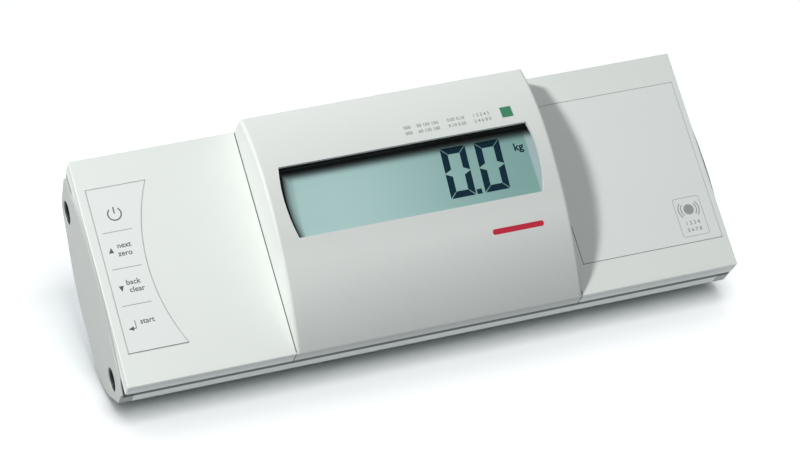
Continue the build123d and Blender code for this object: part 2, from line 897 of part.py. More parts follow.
def make_battery_springs():
    """Coil springs at the plain end of each cell."""
    gap = spring_room - 2 * touch - spring_wire
    coil = Helix(pitch=gap / spring_turns, height=gap, radius=spring_radius)
    start_plane = Plane(origin=coil @ 0, z_dir=coil % 0)
    wire = sweep(start_plane * Circle(spring_wire / 2), path=coil, is_frenet=True)
    springs = []
    for y in cell_rows_y():
        for start in cell_starts():
            place = Pos(start - spring_room + touch + spring_wire / 2, y, cell_z()) * Rot(Y=90)
            springs.append(place * wire)
    return group(springs)


def make_battery_lid():
    half = tray_inner_length / 2 - lid_slip
    front = tray_front_y + lid_slip
    back = tray_front_y + tray_inner_width - lid_slip
    lid = block(-half, half, front, back, belly_z, belly_inside_z + lid_rib_height)
    lid &= prism_x(shell_section(0), -half, half) - prism_x(shell_section(shell_wall), -half, half)
    grip = lid_grip_length / 2
    for step in range(lid_grips):
        y = front + lid_grip_margin + lid_grip_pitch * step
        lid -= block(-grip, grip, y, y + lid_grip_width, belly_z, belly_z + lid_grip_depth)
    return lid


# Sockets
def make_socket_board():
    middle = (data_socket_x + power_socket_x) / 2
    half = socket_board_length / 2
    low = socket_board_z - socket_board_thickness
    board = block(middle - half, middle + half, socket_board_front_y, socket_board_back_y,
                  low, socket_board_z)
    for x, y in socket_posts():
        board -= post(x, y, low, socket_board_z, small_screw_radius + slip)
    return board


def make_socket(x, bore):
    """A round jack on the socket board, with its nose flush in the rear wall."""
    length, depth, height = socket_size
    front = shell_back_y - shell_wall - socket_face_gap
    z = socket_board_z + height / 2
    body = block(x - length / 2, x + length / 2, front - depth, front,
                 socket_board_z, socket_board_z + height)
    nose = bar_y(x, front, console_depth, z, socket_nose_radius)
    body += nose & prism_x(shell_section(slip), -half_length, half_length)
    return body - bar_y(x, front - depth + wall, console_depth, z, bore)


def make_power_socket():
    front = shell_back_y - shell_wall - socket_face_gap
    z = socket_board_z + socket_size[2] / 2
    pin = bar_y(power_socket_x, front - socket_size[1] + wall / 2, front + power_socket_pin_proud, z,
                power_socket_pin)
    return make_socket(power_socket_x, power_socket_bore) + pin


# Stand
def stand_height():
    """Height of the stand's pin over the desk."""
    return height_of(*stand_axis) - desk_height()


def height_of(y, z):
    """Height of a console point once the console is leaned back, before it is set down."""
    return y * math.sin(math.radians(tilt)) + z * math.cos(math.radians(tilt))


def desk_height():
    """Height of the desk under the front feet, in the same terms."""
    return height_of(belly_front[0], belly_front[1]) - belly_front[2] - foot_proud


def make_rear_stand():
    height = stand_height()
    half = stand_width / 2
    rail_depth, rail_height = foot_rail
    lean = math.radians(stand_lean)
    reach = height - pad_thickness - rail_height / 2
    foot_y = reach * math.tan(lean)
    leaf = Rot(X=stand_lean) * block(-half, half, -stand_thickness / 2, stand_thickness / 2,
                                     -reach / math.cos(lean), 0)
    rail_z = -height + pad_thickness
    rail = block(-half, half, foot_y - stand_thickness / 2, foot_y + rail_depth - stand_thickness / 2,
                 rail_z, rail_z + rail_height)
    y, z = stand_axis
    stand = level(y, z) * (leaf + rail + bar_x(-half, half, 0, 0, stand_barrel_radius))
    heel = block(-heel_width / 2, heel_width / 2, y + heel_start, y + heel_start + heel_thickness,
                 z, z + heel_reach)
    stand += heel - prism_x(shell_section(-2 * slip), -half, half)
    return stand - bar_x(-half, half, y, z, stand_pin_radius + stand_pin_slip)


def make_stand_pad():
    height = stand_height()
    half = stand_width / 2
    rail_depth, rail_height = foot_rail
    foot_y = (height - pad_thickness - rail_height / 2) * math.tan(math.radians(stand_lean))
    pad = block(-half, half, foot_y - stand_thickness / 2, foot_y + rail_depth - stand_thickness / 2,
                -height, -height + pad_thickness)
    y, z = stand_axis
    return level(y, z) * fillet(pad.edges().filter_by(Axis.Z), pad_corner)


def make_stand_pin():
    y, z = stand_axis
    reach = stand_width / 2 + 2 * slip + ear_width
    return bar_x(-reach, reach, y, z, stand_pin_radius)


# Rubber feet in shallow seats of the lower front corner
def make_foot(x, margin):
    y, z, radius = belly_front
    half_length_x = foot_length / 2 + margin
    half_width = foot_width / 2 + margin
    foot = block(x - half_length_x, x + half_length_x, -half_width, half_width,
                 -radius - foot_proud, -radius + foot_sunk)
    return level(y, z) * fillet(foot.edges().filter_by(Axis.Z), foot_corner + margin)


def make_front_feet():
    return group([make_foot(x, 0) for x in (-foot_x, foot_x)])


# Screws
def make_housing_screws():
    return group([screw(x, y, post_seat_z, housing_screw_head, housing_screw_radius, housing_screw_length)
                  for x, y in post_places])


def make_hood_screws():
    return group([screw(x, y, -wall, small_screw_head, small_screw_radius, hood_screw_length)
                  for x, y in hood_posts])


def make_board_screws():
    screws = [screw(x, y, board_bottom_z, small_screw_head, small_screw_radius, board_screw_length)
              for x, y in board_posts]
    screws += [screw(x, y, key_board_bottom_z, small_screw_head, small_screw_radius, board_screw_length)
               for x, y in key_board_posts]
    screws += [screw(x, y, radio_top_z - radio_size[2], small_screw_head, small_screw_radius,
                     board_screw_length) for x, y in radio_posts]
    downward = Rot(X=180) * screw(0, 0, 0, small_screw_head, small_screw_radius, board_screw_length)
    screws += [Pos(x, y, socket_board_z) * downward for x, y in socket_posts()]
    return group(screws)


# Green adhesive seal on the hood
def make_seal():
    skin = hood_body(-seal_thickness) - hood_body(0)
    half = seal_size / 2
    return skin & block(seal_x - half, seal_x + half, seal_y - half, seal_y + half, 0, 2 * hood_height)


nodes = {
    "top_cover": make_top_cover(),
    "display_hood": make_display_hood(),
    "lower_shell": make_lower_shell(),
    "end_cap_left": make_end_cap(-1),
    "end_cap_right": make_end_cap(1),
    "end_cap_screws": make_cap_screws(),
    "keypad_foil": make_keypad_foil(),
    "key_board": make_key_board(),
    "key_domes": make_key_domes(),
    "wing_panel": make_wing_panel(),
    "radio_board": make_radio_board(),
    "radio_can": make_radio_can(),
    "lcd_bezel": make_bezel(),
    "lcd_glass": make_glass(),
    "window_lens": make_lens(),
    "lcd_reflector": make_reflector(),
    "lcd_holder": make_holder(),
    "lcd_elastomers": make_elastomers(),
    "main_board": make_main_board(),
    "board_chips": make_board_chips(),
    "buzzer": make_buzzer(),
    "key_cable": make_key_cable(),
    "radio_cable": make_radio_cable(),
    "battery_cable": make_battery_cable(),
    "socket_cable": make_socket_cable(),
    "battery_tray": make_battery_tray(),
    "battery_cells": make_battery_cells(),
    "battery_contacts": make_battery_contacts(),
    "battery_springs": make_battery_springs(),
    "battery_lid": make_battery_lid(),
    "socket_board": make_socket_board(),
    "data_socket": make_socket(data_socket_x, data_socket_bore),
    "power_socket": make_power_socket(),
    "rear_stand": make_rear_stand(),
    "stand_pad": make_stand_pad(),
    "stand_pin": make_stand_pin(),
    "front_feet": make_front_feet(),
    "housing_screws": make_housing_screws(),
    "hood_screws": make_hood_screws(),
    "board_screws": make_board_screws(),
    "seal_sticker": make_seal(),
}
for name, (x, y) in zip(key_names, key_places()):
    nodes["key_" + name] = make_key(x, y)

# Lean the console back, then put the origin at the middle of its footprint
leaned = {name: Rot(X=tilt) * shape for name, shape in nodes.items()}
boxes = [shape.bounding_box() for shape in leaned.values()]
low_x = min(box.min.X for box in boxes)
high_x = max(box.max.X for box in boxes)
low_y = min(box.min.Y for box in boxes)
high_y = max(box.max.Y for box in boxes)
low_z = min(box.min.Z for box in boxes)
shift = Pos(-(low_x + high_x) / 2, -(low_y + high_y) / 2, -low_z)

os.makedirs("parts", exist_ok=True)
for name, shape in leaned.items():
    export_step(shift * shape, "parts/" + name + ".step")

print("console origin stands at", shift.position)
print("footprint", high_x - low_x, "by", high_y - low_y)
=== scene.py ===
import bpy
import bmesh
import math
from bpy.props import FloatProperty, FloatVectorProperty, IntProperty, PointerProperty
from mathutils import Matrix, Vector
from mathutils.bvhtree import BVHTree


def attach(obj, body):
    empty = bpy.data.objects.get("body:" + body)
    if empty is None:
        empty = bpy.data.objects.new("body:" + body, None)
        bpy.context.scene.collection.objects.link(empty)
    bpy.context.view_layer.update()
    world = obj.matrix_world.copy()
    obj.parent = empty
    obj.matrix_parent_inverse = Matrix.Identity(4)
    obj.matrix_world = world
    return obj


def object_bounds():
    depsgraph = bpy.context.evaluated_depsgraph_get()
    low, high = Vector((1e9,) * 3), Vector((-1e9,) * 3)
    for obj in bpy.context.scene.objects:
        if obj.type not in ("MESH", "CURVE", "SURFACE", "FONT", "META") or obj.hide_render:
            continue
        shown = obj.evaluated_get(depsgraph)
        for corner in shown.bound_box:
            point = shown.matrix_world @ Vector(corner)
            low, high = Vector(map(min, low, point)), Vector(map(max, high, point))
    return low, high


bl_info = {
    "name": "Scale Display Console",
    "version": (1, 0, 0),
    "blender": (4, 5, 0),
    "location": "View3D > Sidebar > Console",
    "description": "Dresses the display console of a platform scale and sets up its studio",
    "category": "Object",
}

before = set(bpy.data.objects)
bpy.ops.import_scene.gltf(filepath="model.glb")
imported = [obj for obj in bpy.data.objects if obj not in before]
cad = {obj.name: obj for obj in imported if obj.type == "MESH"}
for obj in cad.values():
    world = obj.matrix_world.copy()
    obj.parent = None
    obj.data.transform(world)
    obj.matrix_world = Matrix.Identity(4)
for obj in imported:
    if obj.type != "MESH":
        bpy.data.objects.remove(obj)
cad_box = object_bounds()
MM = 0.001
KEYS = ("key_power", "key_up", "key_down", "key_enter")
# How bold words and fine figures are, and the share of the display ground's colour that it gives off as a
# painted glow of its own
WORD_WEIGHT = 0.045
FINE_WEIGHT = 0.035
PAINTED_GLOW = 0.6
# Base of the printed ink, a little under the surface, in mm
INK_BASE = -0.01
# Heights over which painted shade darkens the skirt's lower edge and the seam under it, in mm
SKIRT_EDGE = (-9.5, -9.1)
FRONT_SEAM = (-16.8, -15.4)
BACK_SEAM = (-11.6, -11.0)
# Screw wells in the end caps, as y and z, and how far painted shade darkens them, in mm
WELLS = ((96.5, -25.0), (12.7, -23.6))
WELL_RADIUS = 5.7


def tone(red, green, blue):
    """A colour given as it shows on a screen, from 0 to 255, as linear light."""
    shares = [value / 255 for value in (red, green, blue)]
    return tuple(s / 12.92 if s <= 0.04045 else ((s + 0.055) / 1.055) ** 2.4 for s in shares)


def colour(name, description, *shown):
    """A colour property."""
    return FloatVectorProperty(name=name, description=description, subtype="COLOR", size=3,
                               min=0.0, max=1.0, default=tone(*shown))


def number(name, description, value, **kind):
    """A number property."""
    return FloatProperty(name=name, description=description, default=value, **kind)


def millimetres(name, description, value):
    """A length property whose value is in millimetres."""
    return number(name, description + ", in mm", value)


class ConsoleSizes(bpy.types.PropertyGroup):
    """Sizes of what is printed and shown on the console."""
    tilt: number("Tilt", "How far the console leans back", math.radians(38.0), subtype="ANGLE")
    print_height: millimetres("Print thickness", "Thickness of printed ink", 0.03)
    line_width: millimetres("Line width", "Width of the thin printed lines", 0.28)
    digit_width: millimetres("Digit width", "Width of one digit of the display", 12.4)
    digit_height: millimetres("Digit height", "Height of one digit of the display", 25.1)
    digit_stroke: millimetres("Digit stroke", "Width of one segment of a digit", 3.25)
    digit_slant: millimetres("Digit slant", "How far the top of a digit leans to the right", 1.4)
    segment_gap: millimetres("Segment gap", "Gap between neighbouring segments", 0.3)
    legend_height: millimetres("Legend height", "Height of the small words on the keys", 3.65)
    fine_height: millimetres("Fine print height", "Height of the figures above the window", 2.35)
    key_pitch: millimetres("Key pitch", "Distance from one key to the next", 18.0)
    divider_count: IntProperty(name="Dividers", description="Number of lines between the keys",
                               default=3, min=1)
    # The seams round the hood are thin sheets of painted shade this wide.
    seam_width: millimetres("Seam width", "Width of the dark seams round the hood", 0.4)
    band_shadow: millimetres("Frame shadow", "How far the frame darkens the display ground", 4.6)


class ConsoleColours(bpy.types.PropertyGroup):
    """Colours of the console's finishes."""
    cover: colour("Cover", "Moulded top cover", 235, 239, 234)
    hood: colour("Hood", "Moulded display hood", 227, 230, 226)
    panel: colour("Panel", "Panel on the right wing", 236, 239, 236)
    film: colour("Film", "Keypad film", 236, 239, 236)
    shell: colour("Shell", "Lower shell", 240, 245, 242)
    caps: colour("End caps", "Moulded end caps", 182, 185, 181)
    # The gap colour is painted shade, used in the seams, along the skirt's lower edge and in the screw wells.
    gap: colour("Gap", "Dark depth of seams and wells", 24, 32, 34)
    stand: colour("Stand", "Fold-out stand", 150, 155, 158)
    # The display ground's lighter left end fading to the right is a painted reflection.
    glass_left: colour("Display, left", "Display ground at its left end", 172, 204, 202)
    glass_right: colour("Display, right", "Display ground at its right end", 128, 168, 163)
    segments: colour("Segments", "Lit segments of the display", 6, 42, 58)
    ink: colour("Ink", "Grey printing", 146, 150, 149)
    pale_ink: colour("Pale ink", "Pale grey printing", 182, 186, 184)
    dark_ink: colour("Dark ink", "Dark grey printing", 84, 88, 90)
    accent: colour("Accent", "Plain red bar on the hood", 204, 26, 58)
    seal: colour("Seal", "Green seal on the hood", 44, 128, 90)


class StudioSettings(bpy.types.PropertyGroup):
    """Lights, floor and camera."""
    key_power: number("Key light", "Power of the main soft light", 16.4, unit="POWER")
    key_size: number("Key light size", "Side of the main light", 0.18, unit="LENGTH")
    floor_power: number("Floor light", "Power of the light on the floor alone", 11.0, unit="POWER")
    shell_power: number("Shell light", "Power of the light on the lower shell alone", 1.6, unit="POWER")
    sky_low: number("Surround", "Brightness all round", 0.02)
    sky_high: number("Overhead", "Brightness added above and behind", 0.82)
    floor_light: number("Floor tone", "How light the floor shows", 1.45)
    lens: number("Lens", "Focal length", 144.458, subtype="DISTANCE_CAMERA")


# Placing things in the console's own frame: X along it from the middle, Y from the front edge
# to the back, Z up from the face of the wings, in millimetres.
def to_row():
    """Takes console millimetres to the row frame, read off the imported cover."""
    lean = Matrix.Rotation(sizes().tilt, 4, "X")
    flat = [lean.inverted() @ vertex.co for vertex in cad["top_cover"].data.vertices]
    corner = Vector((0.0, min(p.y for p in flat), max(p.z for p in flat)))
    return lean @ Matrix.Translation(corner) @ Matrix.Scale(MM, 4)


def sizes():
    return bpy.context.scene.console_sizes


def colours():
    return bpy.context.scene.console_colours


def studio_settings():
    return bpy.context.scene.console_studio


def surface_of(node):
    """Height of the top of a CAD node over a console point, as a function of x and y."""
    well_above = 60.0
    place = to_row()
    back = place.inverted()
    down = (place.to_3x3() @ Vector((0, 0, -1))).normalized()
    mesh = cad[node].data
    faces = [list(face.vertices) for face in mesh.polygons]
    tree = BVHTree.FromPolygons([vertex.co.copy() for vertex in mesh.vertices], faces)

    def height(x, y):
        hit = tree.ray_cast(place @ Vector((x, y, well_above)), down)[0]
        if hit is None:
            raise ValueError("nothing lies under %.1f, %.1f on %s" % (x, y, node))
        return (back @ hit).z

    return height


# Flat outlines, as lists of x and y
def shifted(outline, x, y):
    return [(px + x, py + y) for px, py in outline]


def arc(radius, start, end, steps):
    """Points on an arc round the origin, between two angles in degrees."""
    angles = [math.radians(start + (end - start) * step / steps) for step in range(steps + 1)]
    return [(radius * math.cos(a), radius * math.sin(a)) for a in angles]


def arc_band(inner, outer, start, end, steps):
    """A curved band between two radii."""
    return arc(outer, start, end, steps) + arc(inner, end, start, steps)


def box_outline(x0, x1, y0, y1):
    return [(x0, y0), (x1, y0), (x1, y1), (x0, y1)]


def rounded_box(x0, x1, y0, y1, radius, steps=6):
    """A rectangle with rounded corners, counterclockwise."""
    corners = ((x1 - radius, y0 + radius, -90), (x1 - radius, y1 - radius, 0),
               (x0 + radius, y1 - radius, 90), (x0 + radius, y0 + radius, 180))
    outline = []
    for x, y, start in corners:
        outline += shifted(arc(radius, start, start + 90, steps), x, y)
    return outline


def inward(outline, distance):
    """The same closed counterclockwise outline drawn in by a distance."""
    count = len(outline)
    drawn = []
    for index in range(count):
        before, here, after = (Vector(outline[(index + step) % count]) for step in (-1, 0, 1))
        first = (here - before).normalized()
        second = (after - here).normalized()
        normal_a = Vector((-first.y, first.x))
        normal_b = Vector((-second.y, second.x))
        middle = (normal_a + normal_b).normalized()
        reach = distance / max(middle.dot(normal_a), 0.3)
        drawn.append(tuple(here + middle * reach))
    return drawn


def densified(outline, step):
    """The outline with points added so that none are further apart than a step."""
    dense = []
    for index, here in enumerate(outline):
        start = Vector(here)
        end = Vector(outline[(index + 1) % len(outline)])
        parts = max(1, math.ceil((end - start).length / step))
        dense += [tuple(start.lerp(end, part / parts)) for part in range(parts)]
    return dense


# Printed and flat pieces
def link(item):
    """Puts an object in the scene."""
    bpy.context.scene.collection.objects.link(item)


def wing_face(x, y):
    """Height of the face of the wings."""
    return 0.0


def prism(bm, outline, low, high, height):
    """A flat closed solid over an outline, whose base follows a surface."""
    bottom = [bm.verts.new((x, y, height(x, y) + low)) for x, y in outline]
    top = [bm.verts.new((x, y, height(x, y) + high)) for x, y in outline]
    bm.faces.new(top)
    bm.faces.new(list(reversed(bottom)))
    count = len(outline)
    for index in range(count):
        after = (index + 1) % count
        bm.faces.new((bottom[index], bottom[after], top[after], top[index]))


def slab(bm, x0, x1, y0, y1, z0, z1):
    """A thin closed block between two corners."""
    size = Vector((x1 - x0, y1 - y0, z1 - z0))
    middle = Vector((x1 + x0, y1 + y0, z1 + z0)) / 2
    bmesh.ops.create_cube(bm, size=1.0, matrix=Matrix.Translation(middle) @ Matrix.Diagonal((*size, 1.0)))


def ring_prism(bm, outer, inner, low, high, height):
    """A flat closed band between two outlines with as many points."""
    rows = []
    for outline, lift in ((outer, high), (inner, high), (inner, low), (outer, low)):
        rows.append([bm.verts.new((x, y, height(x, y) + lift)) for x, y in outline])
    count = len(outer)
    for index in range(count):
        after = (index + 1) % count
        for row in range(4):
            first = rows[row]
            second = rows[(row + 1) % 4]
            bm.faces.new((first[index], first[after], second[after], second[index]))


def add_piece(mesh, name, body):
    """Puts a finished mesh, already in the row frame, on its body."""
    mesh.name = name
    piece = bpy.data.objects.new(name, mesh)
    link(piece)
    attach(piece, body)


def finished(bm, name, material, body):
    """A piece made from a mesh in console millimetres, riding on its body."""
    bmesh.ops.remove_doubles(bm, verts=bm.verts, dist=1e-5)
    bmesh.ops.recalc_face_normals(bm, faces=bm.faces)
    mesh = bpy.data.meshes.new(name)
    bm.to_mesh(mesh)
    bm.free()
    mesh.transform(to_row())
    mesh.materials.append(material)
    add_piece(mesh, name, body)


def add_words(bm, words, x, y, size, height, ink_low, ink_high, align, weight):
    """Plain lettering laid on a surface, added to a mesh."""
    curve = bpy.data.curves.new("lettering", "FONT")
    curve.body = words
    curve.size = size
    curve.align_x = align
    curve.offset = weight
    curve.resolution_u = 3
    holder = bpy.data.objects.new("lettering", curve)
    link(holder)
    evaluated = holder.evaluated_get(bpy.context.evaluated_depsgraph_get())
    flat = bpy.data.meshes.new_from_object(evaluated)
    bpy.data.objects.remove(holder)
    bpy.data.curves.remove(curve)
    text = bmesh.new()
    text.from_mesh(flat)
    bpy.data.meshes.remove(flat)
    bmesh.ops.remove_doubles(text, verts=text.verts, dist=1e-5)
    raised = bmesh.ops.extrude_face_region(text, geom=text.faces[:], use_keep_orig=True)
    upper = {element for element in raised["geom"] if isinstance(element, bmesh.types.BMVert)}
    for vertex in text.verts:
        lift = ink_high if vertex in upper else ink_low
        px, py = vertex.co.x + x, vertex.co.y + y
        vertex.co = (px, py, height(px, py) + lift)
    bmesh.ops.recalc_face_normals(text, faces=text.faces)
    merged = bpy.data.meshes.new("lettering")
    text.to_mesh(merged)
    text.free()
    bm.from_mesh(merged)
    bpy.data.meshes.remove(merged)


def print_shape(bm, outline, height=wing_face):
    """Ink over an outline."""
    prism(bm, outline, INK_BASE, sizes().print_height, height)


def print_ring(bm, outer, width):
    """Ink along the inside of an outline on a wing."""
    ring_prism(bm, outer, inward(outer, width), INK_BASE, sizes().print_height, wing_face)


def print_words(bm, words, x, y, size, height=wing_face, align="CENTER", weight=WORD_WEIGHT):
    """Plain lettering in ink."""
    add_words(bm, words, x, y, size, height, INK_BASE, sizes().print_height, align, weight)


# Shader building
def feed(tree, socket, value):
    """Gives an input a plain value, or a link from an output."""
    if isinstance(value, bpy.types.NodeSocket):
        tree.links.new(value, socket)
    else:
        socket.default_value = value


def add_node(tree, kind, inputs=None, **settings):
    """A node whose inputs take values or the sockets that feed them."""
    node = tree.nodes.new(kind)
    for name, value in settings.items():
        setattr(node, name, value)
    for name, value in (inputs or {}).items():
        feed(tree, node.inputs[name], value)
    return node


def mixed(tree, share, first, second):
    """A colour mix, as its result socket."""
    node = add_node(tree, "ShaderNodeMix", {0: share}, data_type="RGBA")
    for index, value in ((6, first), (7, second)):
        is_socket = isinstance(value, bpy.types.NodeSocket)
        feed(tree, node.inputs[index], value if is_socket else (*value[:3], 1.0))
    return node.outputs[2]


def maths(tree, operation, *values):
    """A math node's result socket."""
    return add_node(tree, "ShaderNodeMath", dict(enumerate(values)), operation=operation).outputs[0]


def product(tree, first, *others):
    """Values and sockets multiplied together, as a socket."""
    for value in others:
        first = maths(tree, "MULTIPLY", first, value)
    return first


def scaled(tree, vector, share):
    """A colour or a vector times a value, as a socket."""
    return add_node(tree, "ShaderNodeVectorMath", {0: vector, "Scale": share}, operation="SCALE").outputs[0]


def noise(tree, vector, scale, detail, roughness=0.5):
    """Soft noise from nought to one, as a socket."""
    return add_node(tree, "ShaderNodeTexNoise", {"Vector": vector, "Scale": scale, "Detail": detail,
                                                 "Roughness": roughness}).outputs["Fac"]


def ramp(tree, value, start, end, low=0.0, high=1.0, kind="SMOOTHSTEP"):
    """Low at the start and high at the end, with soft ends, as a socket."""
    return add_node(tree, "ShaderNodeMapRange",
                    {"Value": value, "From Min": start, "From Max": end, "To Min": low, "To Max": high},
                    interpolation_type=kind).outputs[0]


def straight_ramp(tree, value, start, end, low=0.0, high=1.0):
    """The same in a straight line."""
    return ramp(tree, value, start, end, low, high, "LINEAR")


def object_vector(tree):
    return add_node(tree, "ShaderNodeTexCoord").outputs["Object"]


def console_vector(tree):
    """Object coordinates turned into the console's own frame and millimetres."""
    corner = to_row().inverted() @ Vector((0.0, 0.0, 0.0))
    return add_node(tree, "ShaderNodeMapping", {
        "Vector": object_vector(tree), "Location": corner, "Rotation": (-sizes().tilt, 0.0, 0.0),
        "Scale": (1 / MM, 1 / MM, 1 / MM)}).outputs[0]


def axes(tree, vector):
    """The X, Y and Z of a vector, as sockets."""
    return tuple(add_node(tree, "ShaderNodeSeparateXYZ", {"Vector": vector}).outputs)


def surface_group(name, inputs, build):
    """A node group that puts out Colour, Roughness and Height, made once and then shared."""
    group = bpy.data.node_groups.get(name)
    if group:
        return group
    group = bpy.data.node_groups.new(name, "ShaderNodeTree")
    for label, kind, value in inputs:
        socket = group.interface.new_socket(label, in_out="INPUT", socket_type="NodeSocket" + kind)
        if value is not None:
            socket.default_value = value
    for label, kind in (("Colour", "Color"), ("Roughness", "Float"), ("Height", "Float")):
        group.interface.new_socket(label, in_out="OUTPUT", socket_type="NodeSocket" + kind)
    given = group.nodes.new("NodeGroupInput").outputs
    sink = group.nodes.new("NodeGroupOutput")
    for socket, value in zip(sink.inputs, build(group, given)):
        group.links.new(value, socket)
    return group


def moulded_group():
    """Fine spark-eroded grain, slow mottling of the tone and uneven gloss of moulded plastic."""
    def build(group, given):
        centred = maths(group, "SUBTRACT", noise(group, given["Vector"], 28.0, 3.0), 0.5)
        share = maths(group, "MULTIPLY_ADD", centred, given["Mottle"], 1.0)
        gloss = maths(group, "MULTIPLY_ADD", centred, given["Gloss Spread"], given["Roughness"])
        grain = noise(group, given["Vector"], given["Grain Scale"], 2.0, 0.6)
        return scaled(group, given["Colour"], share), gloss, grain

    return surface_group(
        "Moulded Surface",
        [("Vector", "Vector", None), ("Colour", "Color", (0.8, 0.8, 0.8, 1.0)), ("Mottle", "Float", 0.02),
         ("Roughness", "Float", 0.5), ("Gloss Spread", "Float", 0.06), ("Grain Scale", "Float", 2200.0)],
        build)


def metal_group():
    """Drawn lines, spots of dull plating and a rolled texture for small metal pieces."""
    def build(group, given):
        stretch = add_node(group, "ShaderNodeMapping", {"Vector": given["Vector"],
                                                        "Scale": (40.0, 1200.0, 1200.0)})
        spots = straight_ramp(group, noise(group, given["Vector"], 420.0, 4.0), 0.45, 0.75)
        tint = mixed(group, spots, given["Colour"], given["Dull Colour"])
        rough = maths(group, "MULTIPLY_ADD", spots, 0.2, given["Roughness"])
        return tint, rough, noise(group, stretch.outputs[0], 3.0, 2.0)

    return surface_group(
        "Plated Metal",
        [("Vector", "Vector", None), ("Colour", "Color", (0.6, 0.6, 0.6, 1.0)),
         ("Dull Colour", "Color", (0.4, 0.4, 0.4, 1.0)), ("Roughness", "Float", 0.3)],
        build)


def bare_tree(owner, output):
    """The node tree of a material or world with nothing in it but its output, and the output's input."""
    owner.use_nodes = True
    tree = owner.node_tree
    tree.nodes.clear()
    return tree, tree.nodes.new(output).inputs["Surface"]


def new_material(name, **shader_values):
    """A node material, with its tree and its shader. Plain values go on the shader itself."""
    material = bpy.data.materials.new(name)
    tree, surface = bare_tree(material, "ShaderNodeOutputMaterial")
    shader = tree.nodes.new("ShaderNodeBsdfPrincipled")
    tree.links.new(shader.outputs["BSDF"], surface)
    for key, value in shader_values.items():
        shader.inputs[key.replace("_", " ")].default_value = value
    return material, tree, shader


def wire_surface(tree, shader, group, values, bump_distance, bump_strength=0.4):
    """Feeds the shader from a group that puts out Colour, Roughness and Height."""
    surface = add_node(tree, "ShaderNodeGroup", {"Vector": object_vector(tree), **values}, node_tree=group)
    tree.links.new(surface.outputs["Colour"], shader.inputs["Base Color"])
    tree.links.new(surface.outputs["Roughness"], shader.inputs["Roughness"])
    bump = add_node(tree, "ShaderNodeBump", {"Height": surface.outputs["Height"], "Strength": bump_strength,
                                             "Distance": bump_distance})
    tree.links.new(bump.outputs["Normal"], shader.inputs["Normal"])


def plastic(name, base, roughness, grain=2200.0, depth=0.00002, mottle=0.02, spread=0.06, **shader_values):
    """A moulded finish. The base is a colour, or a function of the tree that gives one. The grain is how
    fine the surface's noise is and the depth how deep, in metres; mottle and spread vary tone and gloss."""
    material, tree, shader = new_material(name, **shader_values)
    values = {"Colour": base(tree) if callable(base) else (*base, 1.0), "Mottle": mottle,
              "Roughness": roughness, "Gloss Spread": spread, "Grain Scale": grain}
    wire_surface(tree, shader, moulded_group(), values, depth)
    return material


def metal(name, base, dull, roughness):
    """A plated metal finish."""
    material, tree, shader = new_material(name, Metallic=1.0)
    values = {"Colour": (*base, 1.0), "Dull Colour": (*dull, 1.0), "Roughness": roughness}
    wire_surface(tree, shader, metal_group(), values, 0.00001, 0.25)
    return material


def ink(name, base, roughness=0.55):
    """Screen-printed ink, a little uneven where it lies thin; also the finish of the thin sheets of painted
    shade in the seams.
    """
    return plastic(name, base, roughness, grain=5200.0, depth=0.000004, mottle=0.12, spread=0.1)


def paint(material, *nodes):
    """Gives CAD nodes their finish."""
    for node in nodes:
        slots = cad[node].data.materials
        slots.clear()
        slots.append(material)


class PieceOperator:
    """What every operator here shares."""
    bl_options = {"REGISTER", "UNDO"}


